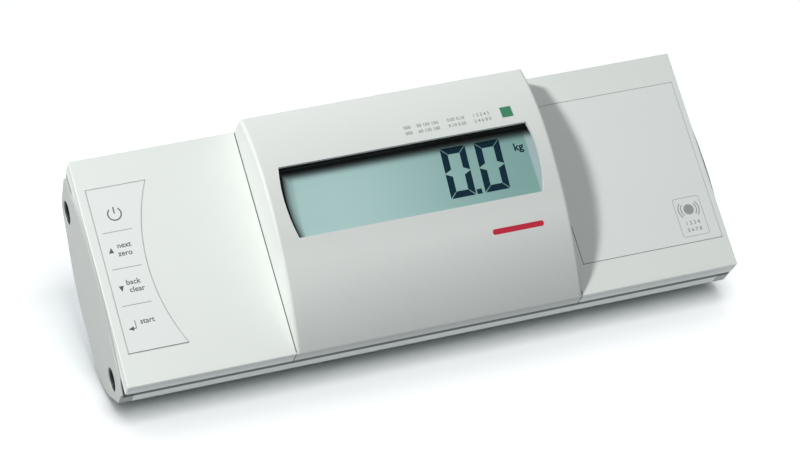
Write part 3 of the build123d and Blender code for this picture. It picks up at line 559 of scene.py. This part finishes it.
class CONSOLE_OT_housing(PieceOperator, bpy.types.Operator):
    """Finishes the cover, the display hood, the lower shell and the end caps"""
    bl_idname = "console.housing"
    bl_label = "Housing"

    def execute(self, context):
        paint(plastic("cover plastic", self.cover_colour_and_shade, 0.46, mottle=0.03), "top_cover")
        paint(plastic("hood plastic", self.hood_colour_and_shade, 0.44, mottle=0.03), "display_hood")
        coarse = {"grain": 1500.0, "depth": 0.00004, "mottle": 0.04}
        paint(plastic("shell plastic", self.shell_colour_and_shade, 0.55, **coarse), "lower_shell")
        paint(plastic("end cap plastic", self.cap_colour_and_shade, 0.52, **coarse), "end_cap_left", "end_cap_right")
        self.hood_seam_shade()
        return {"FINISHED"}

    def shell_colour_and_shade(self, tree):
        """The shell's colour, with painted shade in the seam under the cover, which is deeper at the front.
        """
        darkness = 0.92
        _, y, z = axes(tree, console_vector(tree))
        near_front = ramp(tree, y, 40.0, 20.0)
        front = product(tree, ramp(tree, z, *FRONT_SEAM), near_front)
        seam = maths(tree, "MAXIMUM", front, ramp(tree, z, *BACK_SEAM))
        return mixed(tree, product(tree, seam, darkness), colours().shell, colours().gap)

    def skirt_painted_shade(self, tree, plain):
        """A colour with painted shade that darkens it high up on the skirt, and painted seam shade along its
        lower edge.
        """
        darkness = 0.2
        _, _, z = axes(tree, console_vector(tree))
        up_the_skirt = ramp(tree, z, -8.5, -2.0)
        below_the_edge = ramp(tree, z, -0.4, -1.2)
        share = product(tree, up_the_skirt, below_the_edge, darkness)
        shaded_skirt = mixed(tree, share, plain, (0.0, 0.0, 0.0))
        return mixed(tree, ramp(tree, z, *SKIRT_EDGE), colours().gap, shaded_skirt)

    def cover_colour_and_shade(self, tree):
        return self.skirt_painted_shade(tree, colours().cover)

    def hood_colour_and_shade(self, tree):
        """The hood's colour with painted light and shade: lighter high on its front slope, darker low on it
        and toward the right of it.
        """
        plain = colours().hood
        lowest, highest, lean = 0.83, 1.07, 0.1
        x, y, _ = axes(tree, console_vector(tree))
        along = maths(tree, "SUBTRACT", y, product(tree, x, lean))
        # deep and pale are painted shaded and lit copies of the hood's colour, spread along the slope.
        deep, pale = ([part * share for part in plain] for share in (lowest, highest))
        slope = mixed(tree, straight_ramp(tree, along, -6.0, 34.0), deep, pale)
        past_slope = ramp(tree, y, 36.0, 48.0)
        return self.skirt_painted_shade(tree, mixed(tree, past_slope, slope, plain))

    def cap_colour_and_shade(self, tree):
        """The caps' colour, with painted shade inside the screw wells and in the seam under the cover's front
        edge.
        """
        cap_face, rim_face = 150.75, 150.2
        vector = console_vector(tree)
        side = add_node(tree, "ShaderNodeVectorMath", {0: vector, 1: (0.0, 1.0, 1.0)}, operation="MULTIPLY")
        x, y, z = axes(tree, vector)
        from_middle = maths(tree, "ABSOLUTE", x)
        reach = [add_node(tree, "ShaderNodeVectorMath", {0: side.outputs[0], 1: (0.0, *well)},
                          operation="DISTANCE").outputs["Value"] for well in WELLS]
        near = maths(tree, "LESS_THAN", maths(tree, "MINIMUM", *reach), WELL_RADIUS)
        wells = product(tree, maths(tree, "LESS_THAN", from_middle, cap_face), near)
        near_front = ramp(tree, y, 10.0, 6.0)
        rim = maths(tree, "LESS_THAN", from_middle, rim_face)
        seam = product(tree, near_front, rim, ramp(tree, z, *FRONT_SEAM))
        return mixed(tree, maths(tree, "MAXIMUM", wells, seam), colours().caps, colours().gap)

    def hood_seam_shade(self):
        """Thin dark sheets of painted shade where the hood's sides meet the wings and run down the front."""
        half_width = 70.25
        front, back = 0.9, 111.0
        bottom, top = -9.55, -0.85
        bm = bmesh.new()
        for side in (-1, 1):
            near, far = sorted((side * half_width, side * (half_width + sizes().seam_width)))
            slab(bm, near, far, front, back, -0.01, 0.02)
            slab(bm, near, far, -0.02, 0.01, bottom, top)
        finished(bm, "hood_seam_shade", ink("seam shade", colours().gap, 0.8), "console")


def console_points(node):
    """The corners of a CAD node's mesh in the console's own frame."""
    back = to_row().inverted()
    return [back @ vertex.co for vertex in cad[node].data.vertices]


def extent(points):
    """Left, right, front and back ends of some points."""
    across = [p.x for p in points]
    along = [p.y for p in points]
    return min(across), max(across), min(along), max(along)


def foil_outline(steps=40):
    """The outline of the keypad film, read off its CAD node: three straight sides and one hollow one."""
    points = console_points("keypad_foil")
    left, corner, front, rear = extent(points)
    middle = (front + rear) / 2
    waist = max(p.x for p in points if abs(p.y - middle) < 3.0)
    sagitta = corner - waist
    half = (rear - front) / 2
    radius = (half * half + sagitta * sagitta) / (2 * sagitta)
    sweep = math.degrees(math.asin(half / radius))
    hollow = shifted(arc(radius, 180 + sweep, 180 - sweep, steps), waist + radius, middle)
    return [(left, front)] + hollow + [(left, rear)]


class CONSOLE_OT_keypad(PieceOperator, bpy.types.Operator):
    """Prints the keypad film: its outline, the lines between the keys and the plain key signs"""
    bl_idname = "console.keypad"
    bl_label = "Keypad"

    def execute(self, context):
        tones = colours()
        film = plastic("keypad film", tones.film, 0.4, grain=3600.0, depth=0.000006, mottle=0.015)
        paint(film, "keypad_foil", *KEYS)
        self.overlay(film)
        self.outline(ink("outline ink", tones.pale_ink))
        self.dividers(ink("line ink", tones.ink))
        self.signs(ink("sign ink", tones.dark_ink))
        return {"FINISHED"}

    def overlay(self, film):
        """The thin top foil that runs over the gap round each key."""
        beyond, over, thickness = 0.45, 0.06, 0.012
        outer_radius, inner_radius = 2.9, 2.4
        bm = bmesh.new()
        for key in KEYS:
            x0, x1, y0, y1 = extent([p for p in console_points(key) if p.z > -0.05])
            outer = rounded_box(x0 - beyond, x1 + beyond, y0 - beyond, y1 + beyond, outer_radius)
            inner = rounded_box(x0 + over, x1 - over, y0 + over, y1 - over, inner_radius)
            ring_prism(bm, outer, inner, INK_BASE, thickness, wing_face)
        finished(bm, "keypad_overlay", film, "console")

    def outline(self, material):
        """The film's printed outline, and a darker line of painted shade along its front edge."""
        width = sizes().line_width
        outer = inward(foil_outline(), 0.05)
        bm = bmesh.new()
        print_ring(bm, outer, width)
        finished(bm, "keypad_outline", material, "console")
        # The front line is painted shade along the film's front edge.
        y = outer[0][1]
        front = [x for x, along in outer if along < y + 0.01]
        bm = bmesh.new()
        slab(bm, min(front), max(front), y, y + width * 1.2, INK_BASE, sizes().print_height + 0.005)
        finished(bm, "keypad_front_shade", ink("front edge shade", tone(118, 122, 122)), "console")

    def dividers(self, material):
        """Equal thin lines between the keys, repeated by a node tree."""
        values = {
            "Count": sizes().divider_count, "Pitch": sizes().key_pitch, "Length": 13.8,
            "Width": sizes().line_width, "Thickness": sizes().print_height + 0.01, "Material": material,
        }
        middle, lowest = -136.1, 38.3
        mesh = from_nodes(row_tree(), values)
        mesh.transform(Matrix.Translation((middle, lowest, sizes().print_height / 2)))
        mesh.transform(to_row())
        add_piece(mesh, "keypad_dividers", "console")

    def signs(self, material):
        """The sign and the plain words of each key."""
        x, y = -135.3, 82.75
        inner, outer, half_bar = 2.8, 3.42, 0.3
        bm = bmesh.new()
        print_shape(bm, shifted(arc_band(inner, outer, 130, 410, 40), x, y))
        print_shape(bm, box_outline(x - half_bar, x + half_bar, 82.9, 86.2))
        finished(bm, "power_sign", ink("power ink", tone(98, 102, 104)), "key_power")
        signs = (
            ("up_sign", "key_up", [[(-142.5, 64.2), (-140.1, 64.2), (-141.1, 66.9)]],
             [("next", -134.8, 66.1), ("zero", -135.1, 62.2)]),
            ("down_sign", "key_down", [[(-142.2, 47.95), (-141.0, 45.2), (-139.8, 47.95)]],
             [("back", -135.1, 48.0), ("clear", -134.1, 44.3)]),
            ("enter_sign", "key_enter",
             [[(-142.8, 27.1), (-140.3, 26.0), (-140.3, 28.2)],
              [(-140.3, 26.95), (-138.95, 26.95), (-138.95, 31.0), (-139.25, 31.0), (-139.25, 27.3),
               (-140.3, 27.3)]],
             [("start", -133.4, 28.7)]),
        )
        for name, body, outlines, words in signs:
            bm = bmesh.new()
            for outline in outlines:
                print_shape(bm, outline)
            for word, word_x, word_y in words:
                print_words(bm, word, word_x, word_y, sizes().legend_height)
            finished(bm, name, material, body)


def row_tree():
    """Node tree: a row of equal thin bars along Y."""
    tree = bpy.data.node_groups.new("Row Of Bars", "GeometryNodeTree")
    for name, kind in (("Geometry", "Geometry"), ("Count", "Int"), ("Pitch", "Float"), ("Length", "Float"),
                       ("Width", "Float"), ("Thickness", "Float"), ("Material", "Material")):
        tree.interface.new_socket(name, in_out="INPUT", socket_type="NodeSocket" + kind)
    tree.interface.new_socket("Geometry", in_out="OUTPUT", socket_type="NodeSocketGeometry")
    given = tree.nodes.new("NodeGroupInput").outputs
    sink = tree.nodes.new("NodeGroupOutput")
    step = add_node(tree, "ShaderNodeCombineXYZ", {"Y": given["Pitch"]})
    row = add_node(tree, "GeometryNodeMeshLine", {"Count": given["Count"], "Offset": step.outputs[0]})
    size = add_node(tree, "ShaderNodeCombineXYZ", {"X": given["Length"], "Y": given["Width"],
                                                   "Z": given["Thickness"]})
    bar = add_node(tree, "GeometryNodeMeshCube", {"Size": size.outputs[0]})
    copies = add_node(tree, "GeometryNodeInstanceOnPoints", {"Points": row.outputs[0],
                                                             "Instance": bar.outputs[0]})
    real = add_node(tree, "GeometryNodeRealizeInstances", {"Geometry": copies.outputs[0]})
    finish = add_node(tree, "GeometryNodeSetMaterial", {"Geometry": real.outputs[0],
                                                        "Material": given["Material"]})
    tree.links.new(finish.outputs[0], sink.inputs[0])
    return tree


def from_nodes(tree, values):
    """What a node tree makes on an empty object, as a plain mesh."""
    holder = bpy.data.objects.new("holder", bpy.data.meshes.new("holder"))
    link(holder)
    modifier = holder.modifiers.new("nodes", "NODES")
    modifier.node_group = tree
    for item in tree.interface.items_tree:
        if item.in_out == "INPUT" and item.name in values:
            modifier[item.identifier] = values[item.name]
    evaluated = holder.evaluated_get(bpy.context.evaluated_depsgraph_get())
    mesh = bpy.data.meshes.new_from_object(evaluated)
    holder.modifiers.remove(modifier)
    bpy.data.objects.remove(holder)
    return mesh


class CONSOLE_OT_display(PieceOperator, bpy.types.Operator):
    """Makes the liquid crystal display, its figures, the clear window and the black frame"""
    bl_idname = "console.display"
    bl_label = "Display"

    def execute(self, context):
        self.ground()
        paint(plastic("window acrylic", (0.3, 0.34, 0.34), 0.06, grain=900.0, depth=0.000001, mottle=0.0,
                      spread=0.02, Alpha=0.02, IOR=1.49), "window_lens")
        paint(plastic("frame black", self.frame_black_and_painted_light, 0.6, grain=1800.0, mottle=0.1,
                      Specular_IOR_Level=0.15), "lcd_bezel")
        self.figures()
        return {"FINISHED"}

    def frame_black_and_painted_light(self, tree):
        """Black, with grey on the right end: painted light where the main light falls on its right inner
        wall.
        """
        x, y, _ = axes(tree, console_vector(tree))
        share = product(tree, ramp(tree, x, 56.0, 58.5), ramp(tree, y, 79.0, 77.0))
        return mixed(tree, share, tone(9, 9, 9), tone(168, 180, 184))

    def ground(self):
        """Grey-green display ground, with a painted reflection that makes it lighter to the left, painted
        light on the window's right inner wall, painted shadow of the frame at the top and left, and part of
        its colour given off as a painted glow.
        """
        tones = colours()
        material, tree, shader = new_material("display ground", Roughness=0.5, Specular_IOR_Level=0.2,
                                              Emission_Strength=PAINTED_GLOW * 0.96)
        x, y, _ = axes(tree, console_vector(tree))
        # The lighter left end fading to the right is a painted reflection.
        shade = mixed(tree, ramp(tree, x, -40.0, 62.0), tones.glass_left, tones.glass_right)
        cloud = straight_ramp(tree, noise(tree, object_vector(tree), 22.0, 2.0), 0.0, 1.0, 0.98, 1.02)
        # The pale strip at the right end is painted light on the window's right inner wall.
        right = ramp(tree, x, 60.0, 61.4)
        lit = mixed(tree, right, scaled(tree, shade, cloud), tone(170, 190, 193))
        # The dark top and left bands are painted shadow of the frame and the window's edge.
        top = ramp(tree, y, 75.6, 81.2)
        middle, half_height, left_end, bulge = 65.0, 17.6, -62.9, 2.2
        off_middle = maths(tree, "DIVIDE", maths(tree, "SUBTRACT", y, middle), half_height)
        bow = product(tree, off_middle, off_middle, bulge)
        from_edge = maths(tree, "SUBTRACT", maths(tree, "SUBTRACT", x, left_end), bow)
        reach = sizes().band_shadow
        left = ramp(tree, from_edge, reach + 2.0, reach - 2.2)
        seen = mixed(tree, maths(tree, "MAXIMUM", top, left), lit, tone(30, 33, 33))
        # The base colour keeps only the share that the painted glow leaves; the glow gives off the rest.
        tree.links.new(scaled(tree, seen, 1.0 - PAINTED_GLOW), shader.inputs["Base Color"])
        tree.links.new(seen, shader.inputs["Emission Color"])
        paint(material, "lcd_glass")

    def figures(self):
        """The figures that the display shows: nought point nought, with the unit."""
        height = surface_of("lcd_glass")
        material = plastic("segment dark", colours().segments, 0.6, grain=3000.0, depth=0.000002,
                           mottle=0.05, Specular_IOR_Level=0.05)
        top = sizes().digit_height
        slant = sizes().digit_slant / top
        low, high = 0.01, 0.04
        base = 54.0
        digit_lefts = (17.2, 34.2)
        point_left, point_side = 30.3, 2.5
        unit_size, unit_weight = 5.3, 0.12
        bm = bmesh.new()
        for left in digit_lefts:
            for outline in zero_segments(sizes().digit_width, top, sizes().digit_stroke, sizes().segment_gap):
                prism(bm, [(left + x + slant * y, base + y) for x, y in outline], low, high, height)
        point = box_outline(point_left, point_left + point_side, base, base + point_side)
        prism(bm, point, low, high, height)
        add_words(bm, "kg", 56.3, 71.6, unit_size, height, low, high, "CENTER", unit_weight)
        finished(bm, "display_figures", material, "console")


def zero_segments(width, height, stroke, gap):
    """The six segments of a nought, with mitred corners and a slanted break half way up."""
    half = height / 2
    g = gap / 2
    left_low = [(0, g * 2), (stroke, stroke + g), (stroke, half - stroke * 0.55), (0, half - g)]
    top = [(g * 2, height), (stroke + g, height - stroke), (width - stroke - g, height - stroke),
           (width - g * 2, height)]
    segments = [left_low, list(reversed(top))]
    segments.append([(x, height - y) for x, y in reversed(left_low)])
    segments.append([(x, height - y) for x, y in top])
    segments.append([(width - x, y) for x, y in reversed(left_low)])
    segments.append([(width - x, height - y) for x, y in left_low])
    return segments


class CONSOLE_OT_hood_prints(PieceOperator, bpy.types.Operator):
    """Prints the figures above the window and the plain bar under it, and finishes the seal"""
    bl_idname = "console.hood_prints"
    bl_label = "Hood prints"

    def execute(self, context):
        tones = colours()
        height = surface_of("display_hood")
        bm = bmesh.new()
        columns = (2.6, 9.0, 24.0, 36.8)
        rows = ((89.6, ("000", "50 100 150", "0.05 0.10", "1 2 3 4 5")),
                (86.5, ("000", "60 120 180", "0.10 0.20", "2 4 6 8 0")))
        for y, words in rows:
            for x, word in zip(columns, words):
                print_words(bm, word, x, y, sizes().fine_height, height, "LEFT", FINE_WEIGHT)
        finished(bm, "fine_figures", ink("fine ink", tones.ink), "console")
        paint(ink("seal green", tones.seal, 0.4), "seal_sticker")
        bm = bmesh.new()
        print_shape(bm, densified(rounded_box(31.2, 56.6, 32.4, 34.9, 1.1), 1.0), height)
        finished(bm, "red_bar", ink("bar red", tones.accent, 0.4), "console")
        return {"FINISHED"}


class CONSOLE_OT_wing_panel(PieceOperator, bpy.types.Operator):
    """Finishes the panel on the right wing and prints a plain wireless sign on it"""
    bl_idname = "console.wing_panel"
    bl_label = "Wing panel"

    def execute(self, context):
        tones = colours()
        paint(plastic("panel plastic", tones.panel, 0.48, mottle=0.03), "wing_panel")
        self.panel_seam_shade()
        bm = bmesh.new()
        print_ring(bm, rounded_box(128.0, 141.8, 18.0, 37.9, 1.4), 0.3)
        finished(bm, "sign_frame", ink("sign frame ink", tones.pale_ink), "console")
        bm = bmesh.new()
        x, y = 134.9, 31.6
        size, dot_radius, wave_width, wave_sweep = 2.6, 2.6, 0.5, 84
        print_words(bm, "1 2 3 4", x, 24.0, size)
        print_words(bm, "5 6 7 8", x, 20.5, size)
        print_shape(bm, shifted(arc(dot_radius, 0, 352.5, 47), x, y))
        for inner in (3.7, 5.0):
            for start in (-42, 138):
                wave = arc_band(inner, inner + wave_width, start, start + wave_sweep, 20)
                print_shape(bm, shifted(wave, x, y))
        finished(bm, "wireless_sign", ink("mid ink", tone(158, 162, 160)), "console")
        return {"FINISHED"}

    def panel_seam_shade(self):
        """A thin dark sheet of painted shade along the panel's left and front edges."""
        points = console_points("wing_panel")
        highest = max(p.z for p in points)
        x0, x1, y0, y1 = extent([p for p in points if p.z > highest - 0.3])
        width, thickness = sizes().line_width, 0.015
        bm = bmesh.new()
        slab(bm, x0 - width, x0, y0 - width, y1, INK_BASE, thickness)
        slab(bm, x0, x1, y0 - width, y0, INK_BASE, thickness)
        finished(bm, "panel_seam_shade", ink("panel seam shade", tone(78, 82, 82), 0.8), "console")


class CONSOLE_OT_fasteners(PieceOperator, bpy.types.Operator):
    """Finishes the screws, the pin of the stand and the metal inside"""
    bl_idname = "console.fasteners"
    bl_label = "Fasteners"

    def execute(self, context):
        paint(metal("zinc plating", (0.58, 0.6, 0.62), (0.4, 0.41, 0.43), 0.32), "end_cap_screws",
              "housing_screws", "hood_screws", "board_screws", "stand_pin", "key_domes", "radio_can")
        paint(metal("nickel contacts", (0.72, 0.69, 0.6), (0.5, 0.47, 0.4), 0.28), "battery_contacts",
              "battery_springs")
        return {"FINISHED"}


class CONSOLE_OT_stand(PieceOperator, bpy.types.Operator):
    """Finishes the fold-out stand and its rubber pad"""
    bl_idname = "console.stand"
    bl_label = "Stand"

    def execute(self, context):
        paint(plastic("stand plastic", colours().stand, 0.55, grain=1400.0, depth=0.00004, mottle=0.05),
              "rear_stand")
        paint(rubber(), "stand_pad")
        return {"FINISHED"}


def rubber():
    """Soft dark rubber with a dusty bloom."""
    def bloom(tree):
        share = straight_ramp(tree, noise(tree, object_vector(tree), 90.0, 5.0), 0.4, 0.8)
        return mixed(tree, share, tone(44, 45, 47), tone(66, 67, 68))

    found = bpy.data.materials.get("soft rubber")
    return found or plastic("soft rubber", bloom, 0.78, grain=1300.0, depth=0.00005, mottle=0.1,
                            spread=0.12, Specular_IOR_Level=0.3)


class CONSOLE_OT_feet(PieceOperator, bpy.types.Operator):
    """Finishes the rubber feet under the front"""
    bl_idname = "console.feet"
    bl_label = "Feet"

    def execute(self, context):
        paint(rubber(), "front_feet")
        return {"FINISHED"}


class CONSOLE_OT_electronics(PieceOperator, bpy.types.Operator):
    """Finishes the circuit boards, their parts and the flat cables"""
    bl_idname = "console.electronics"
    bl_label = "Electronics"

    def execute(self, context):
        board = plastic("solder resist", self.tracks, 0.35, grain=900.0, mottle=0.06, spread=0.08,
                        Coat_Weight=0.4, Coat_Roughness=0.15)
        paint(board, "main_board", "key_board", "radio_board", "socket_board")
        paint(plastic("moulding compound", tone(40, 41, 43), 0.5, grain=1600.0, depth=0.00003, mottle=0.08),
              "board_chips", "buzzer", "lcd_holder", "data_socket", "power_socket")
        smooth = {"grain": 2600.0, "depth": 0.00001}
        paint(plastic("flat cable", tone(216, 216, 208), 0.35, mottle=0.04, **smooth),
              "key_cable", "radio_cable", "battery_cable", "socket_cable")
        paint(plastic("reflector film", tone(232, 232, 228), 0.3, **smooth), "lcd_reflector")
        paint(plastic("layered rubber", tone(150, 96, 92), 0.7, grain=1800.0, depth=0.00004, mottle=0.1),
              "lcd_elastomers")
        return {"FINISHED"}

    def tracks(self, tree):
        """Green solder resist with buried tracks."""
        bricks = add_node(tree, "ShaderNodeTexBrick", {
            "Vector": object_vector(tree), "Scale": 160.0, "Mortar Size": 0.06, "Color1": (0, 0, 0, 1),
            "Color2": (0.2, 0.2, 0.2, 1), "Mortar": (1, 1, 1, 1)})
        return mixed(tree, bricks.outputs["Color"], tone(22, 92, 58), tone(44, 128, 84))


class CONSOLE_OT_batteries(PieceOperator, bpy.types.Operator):
    """Finishes the battery tray, its lid and the cells"""
    bl_idname = "console.batteries"
    bl_label = "Batteries"

    def execute(self, context):
        paint(plastic("lid plastic", colours().shell, 0.55, grain=1500.0, depth=0.00004, mottle=0.04),
              "battery_lid", "battery_tray")
        paint(plastic("cell sleeve", self.sleeve, 0.3, grain=1800.0, depth=0.00001, mottle=0.05, spread=0.05,
                      Metallic=0.7, Coat_Weight=0.5), "battery_cells")
        return {"FINISHED"}

    def sleeve(self, tree):
        """Plain cell sleeves: a dark body with a metal end."""
        cell_pitch = 0.0542
        along = maths(tree, "PINGPONG", axes(tree, object_vector(tree))[0], cell_pitch)
        share = straight_ramp(tree, along, 0.0395, 0.04)
        return mixed(tree, share, tone(44, 52, 60), tone(184, 150, 96))


class CONSOLE_OT_studio(PieceOperator, bpy.types.Operator):
    """Sets up the pale floor, the soft lights, the surroundings and the camera"""
    bl_idname = "console.studio"
    bl_label = "Studio"

    def execute(self, context):
        self.floor()
        self.lights()
        self.surround()
        self.camera()
        context.scene.view_settings.view_transform = "Standard"
        return {"FINISHED"}

    def floor(self):
        """A white floor, with a painted bluish contact shadow where the console's front edge stands over it.
        """
        half = 4.0
        mesh = bpy.data.meshes.new("floor")
        mesh.from_pydata([(-half, -half, 0), (half, -half, 0), (half, half, 0), (-half, half, 0)], [],
                         [(0, 1, 2, 3)])
        floor = bpy.data.objects.new("floor", mesh)
        link(floor)
        light = studio_settings().floor_light
        material = bpy.data.materials.new("floor paper")
        tree, surface = bare_tree(material, "ShaderNodeOutputMaterial")
        darkness = 0.45
        x, y, _ = axes(tree, object_vector(tree))
        ends = ramp(tree, maths(tree, "ABSOLUTE", x), 0.152, 0.14)
        front = ramp(tree, y, -0.033, -0.027)
        back = ramp(tree, y, 0.02, -0.01)
        painted_contact_shadow = product(tree, ends, front, back, darkness)
        shown = mixed(tree, painted_contact_shadow, (light, light, light), (0.0, 0.05, 0.09))
        tint = mixed(tree, seen_directly(tree), (0.74, 0.77, 0.79), shown)
        paper = add_node(tree, "ShaderNodeBsdfDiffuse", {"Color": tint})
        tree.links.new(paper.outputs[0], surface)
        mesh.materials.append(material)

    def lights(self):
        """A main light from the left that leaves out the floor, and one each for floor and shell."""
        studio = studio_settings()
        floor = bpy.data.objects["floor"]
        self.area_light("key light", (-0.97, -0.206, 1.108), 1.5, studio.key_size, studio.key_power, floor,
                        "EXCLUDE")
        self.area_light("floor light", (0.0, -0.9, 1.5), 1.6, 0.7, studio.floor_power, floor)
        shell_light = self.area_light("shell light", (-0.2, -1.0, 0.55), 0.8, 0.2, studio.shell_power,
                                      cad["lower_shell"])
        shell_light.cycles.max_bounces = 0

    def area_light(self, name, direction, distance, size, power, piece, link_state="INCLUDE"):
        """A square light aimed at the console, that lights one piece alone or leaves it out."""
        centre = (Vector(cad_box[0]) + Vector(cad_box[1])) / 2
        toward = Vector(direction).normalized()
        lamp = bpy.data.lights.new(name, "AREA")
        lamp.shape = "SQUARE"
        lamp.size = size
        lamp.energy = power
        light = bpy.data.objects.new(name, lamp)
        light.location = centre + toward * distance
        light.rotation_euler = toward.to_track_quat("Z", "Y").to_euler()
        link(light)
        receivers = bpy.data.collections.new(name + " receivers")
        receivers.objects.link(piece)
        receivers.collection_objects[0].light_linking.link_state = link_state
        light.light_linking.receiver_collection = receivers
        return lamp

    def surround(self):
        """Pale surroundings that brighten above and behind, and show white."""
        world = bpy.data.worlds.new("studio")
        tree, surface = bare_tree(world, "ShaderNodeOutputWorld")
        studio = studio_settings()
        direction = add_node(tree, "ShaderNodeTexCoord").outputs["Generated"]
        facing = add_node(tree, "ShaderNodeVectorMath",
                          {0: direction, 1: Vector((0.0, 0.5, 0.85)).normalized()}, operation="DOT_PRODUCT")
        level = straight_ramp(tree, facing.outputs["Value"], 0.1, 1.0, studio.sky_low,
                              studio.sky_low + studio.sky_high)
        ambient = scaled(tree, (0.955, 1.0, 1.02), level)
        tint = mixed(tree, seen_directly(tree), ambient, (1.0, 1.0, 1.0))
        background = add_node(tree, "ShaderNodeBackground", {"Color": tint})
        tree.links.new(background.outputs[0], surface)
        bpy.context.scene.world = world

    def camera(self):
        lens = bpy.data.cameras.new("camera")
        lens.sensor_width = 36.0
        lens.lens = studio_settings().lens
        lens.clip_end = 20.0
        camera = bpy.data.objects.new("camera", lens)
        camera.location = (-0.44452, -1.205541, 0.842503)
        camera.rotation_euler = [math.radians(angle) for angle in (58.1178, -0.0103, -20.2203)]
        link(camera)
        bpy.context.scene.camera = camera


def seen_directly(tree):
    """One for rays from the camera, mirrors and clear pieces, nought for the rest."""
    path = tree.nodes.new("ShaderNodeLightPath").outputs
    first = maths(tree, "MAXIMUM", path["Is Camera Ray"], path["Is Glossy Ray"])
    return maths(tree, "MAXIMUM", first, path["Is Transmission Ray"])


class CONSOLE_PT_panel(bpy.types.Panel):
    """Lists the console's pieces in the sidebar"""
    bl_idname = "CONSOLE_PT_panel"
    bl_label = "Scale Console"
    bl_space_type = "VIEW_3D"
    bl_region_type = "UI"
    bl_category = "Console"

    def draw(self, context):
        layout = self.layout
        for group in (sizes(), colours(), studio_settings()):
            box = layout.box()
            for name in group.__annotations__:
                box.prop(group, name)
        for operator in PIECES:
            layout.operator(operator.bl_idname)


PIECES = (
    CONSOLE_OT_housing,
    CONSOLE_OT_keypad,
    CONSOLE_OT_display,
    CONSOLE_OT_hood_prints,
    CONSOLE_OT_wing_panel,
    CONSOLE_OT_fasteners,
    CONSOLE_OT_stand,
    CONSOLE_OT_feet,
    CONSOLE_OT_electronics,
    CONSOLE_OT_batteries,
    CONSOLE_OT_studio,
)
CLASSES = (ConsoleSizes, ConsoleColours, StudioSettings, *PIECES, CONSOLE_PT_panel)


def register():
    for item in CLASSES:
        bpy.utils.register_class(item)
    bpy.types.Scene.console_sizes = PointerProperty(type=ConsoleSizes)
    bpy.types.Scene.console_colours = PointerProperty(type=ConsoleColours)
    bpy.types.Scene.console_studio = PointerProperty(type=StudioSettings)


def unregister():
    del bpy.types.Scene.console_studio
    del bpy.types.Scene.console_colours
    del bpy.types.Scene.console_sizes
    for item in reversed(CLASSES):
        bpy.utils.unregister_class(item)


def main():
    register()
    bpy.ops.console.housing()
    bpy.ops.console.keypad()
    bpy.ops.console.display()
    bpy.ops.console.hood_prints()
    bpy.ops.console.wing_panel()
    bpy.ops.console.fasteners()
    bpy.ops.console.stand()
    bpy.ops.console.feet()
    bpy.ops.console.electronics()
    bpy.ops.console.batteries()
    bpy.ops.console.studio()


if __name__ == "__main__":
    main()
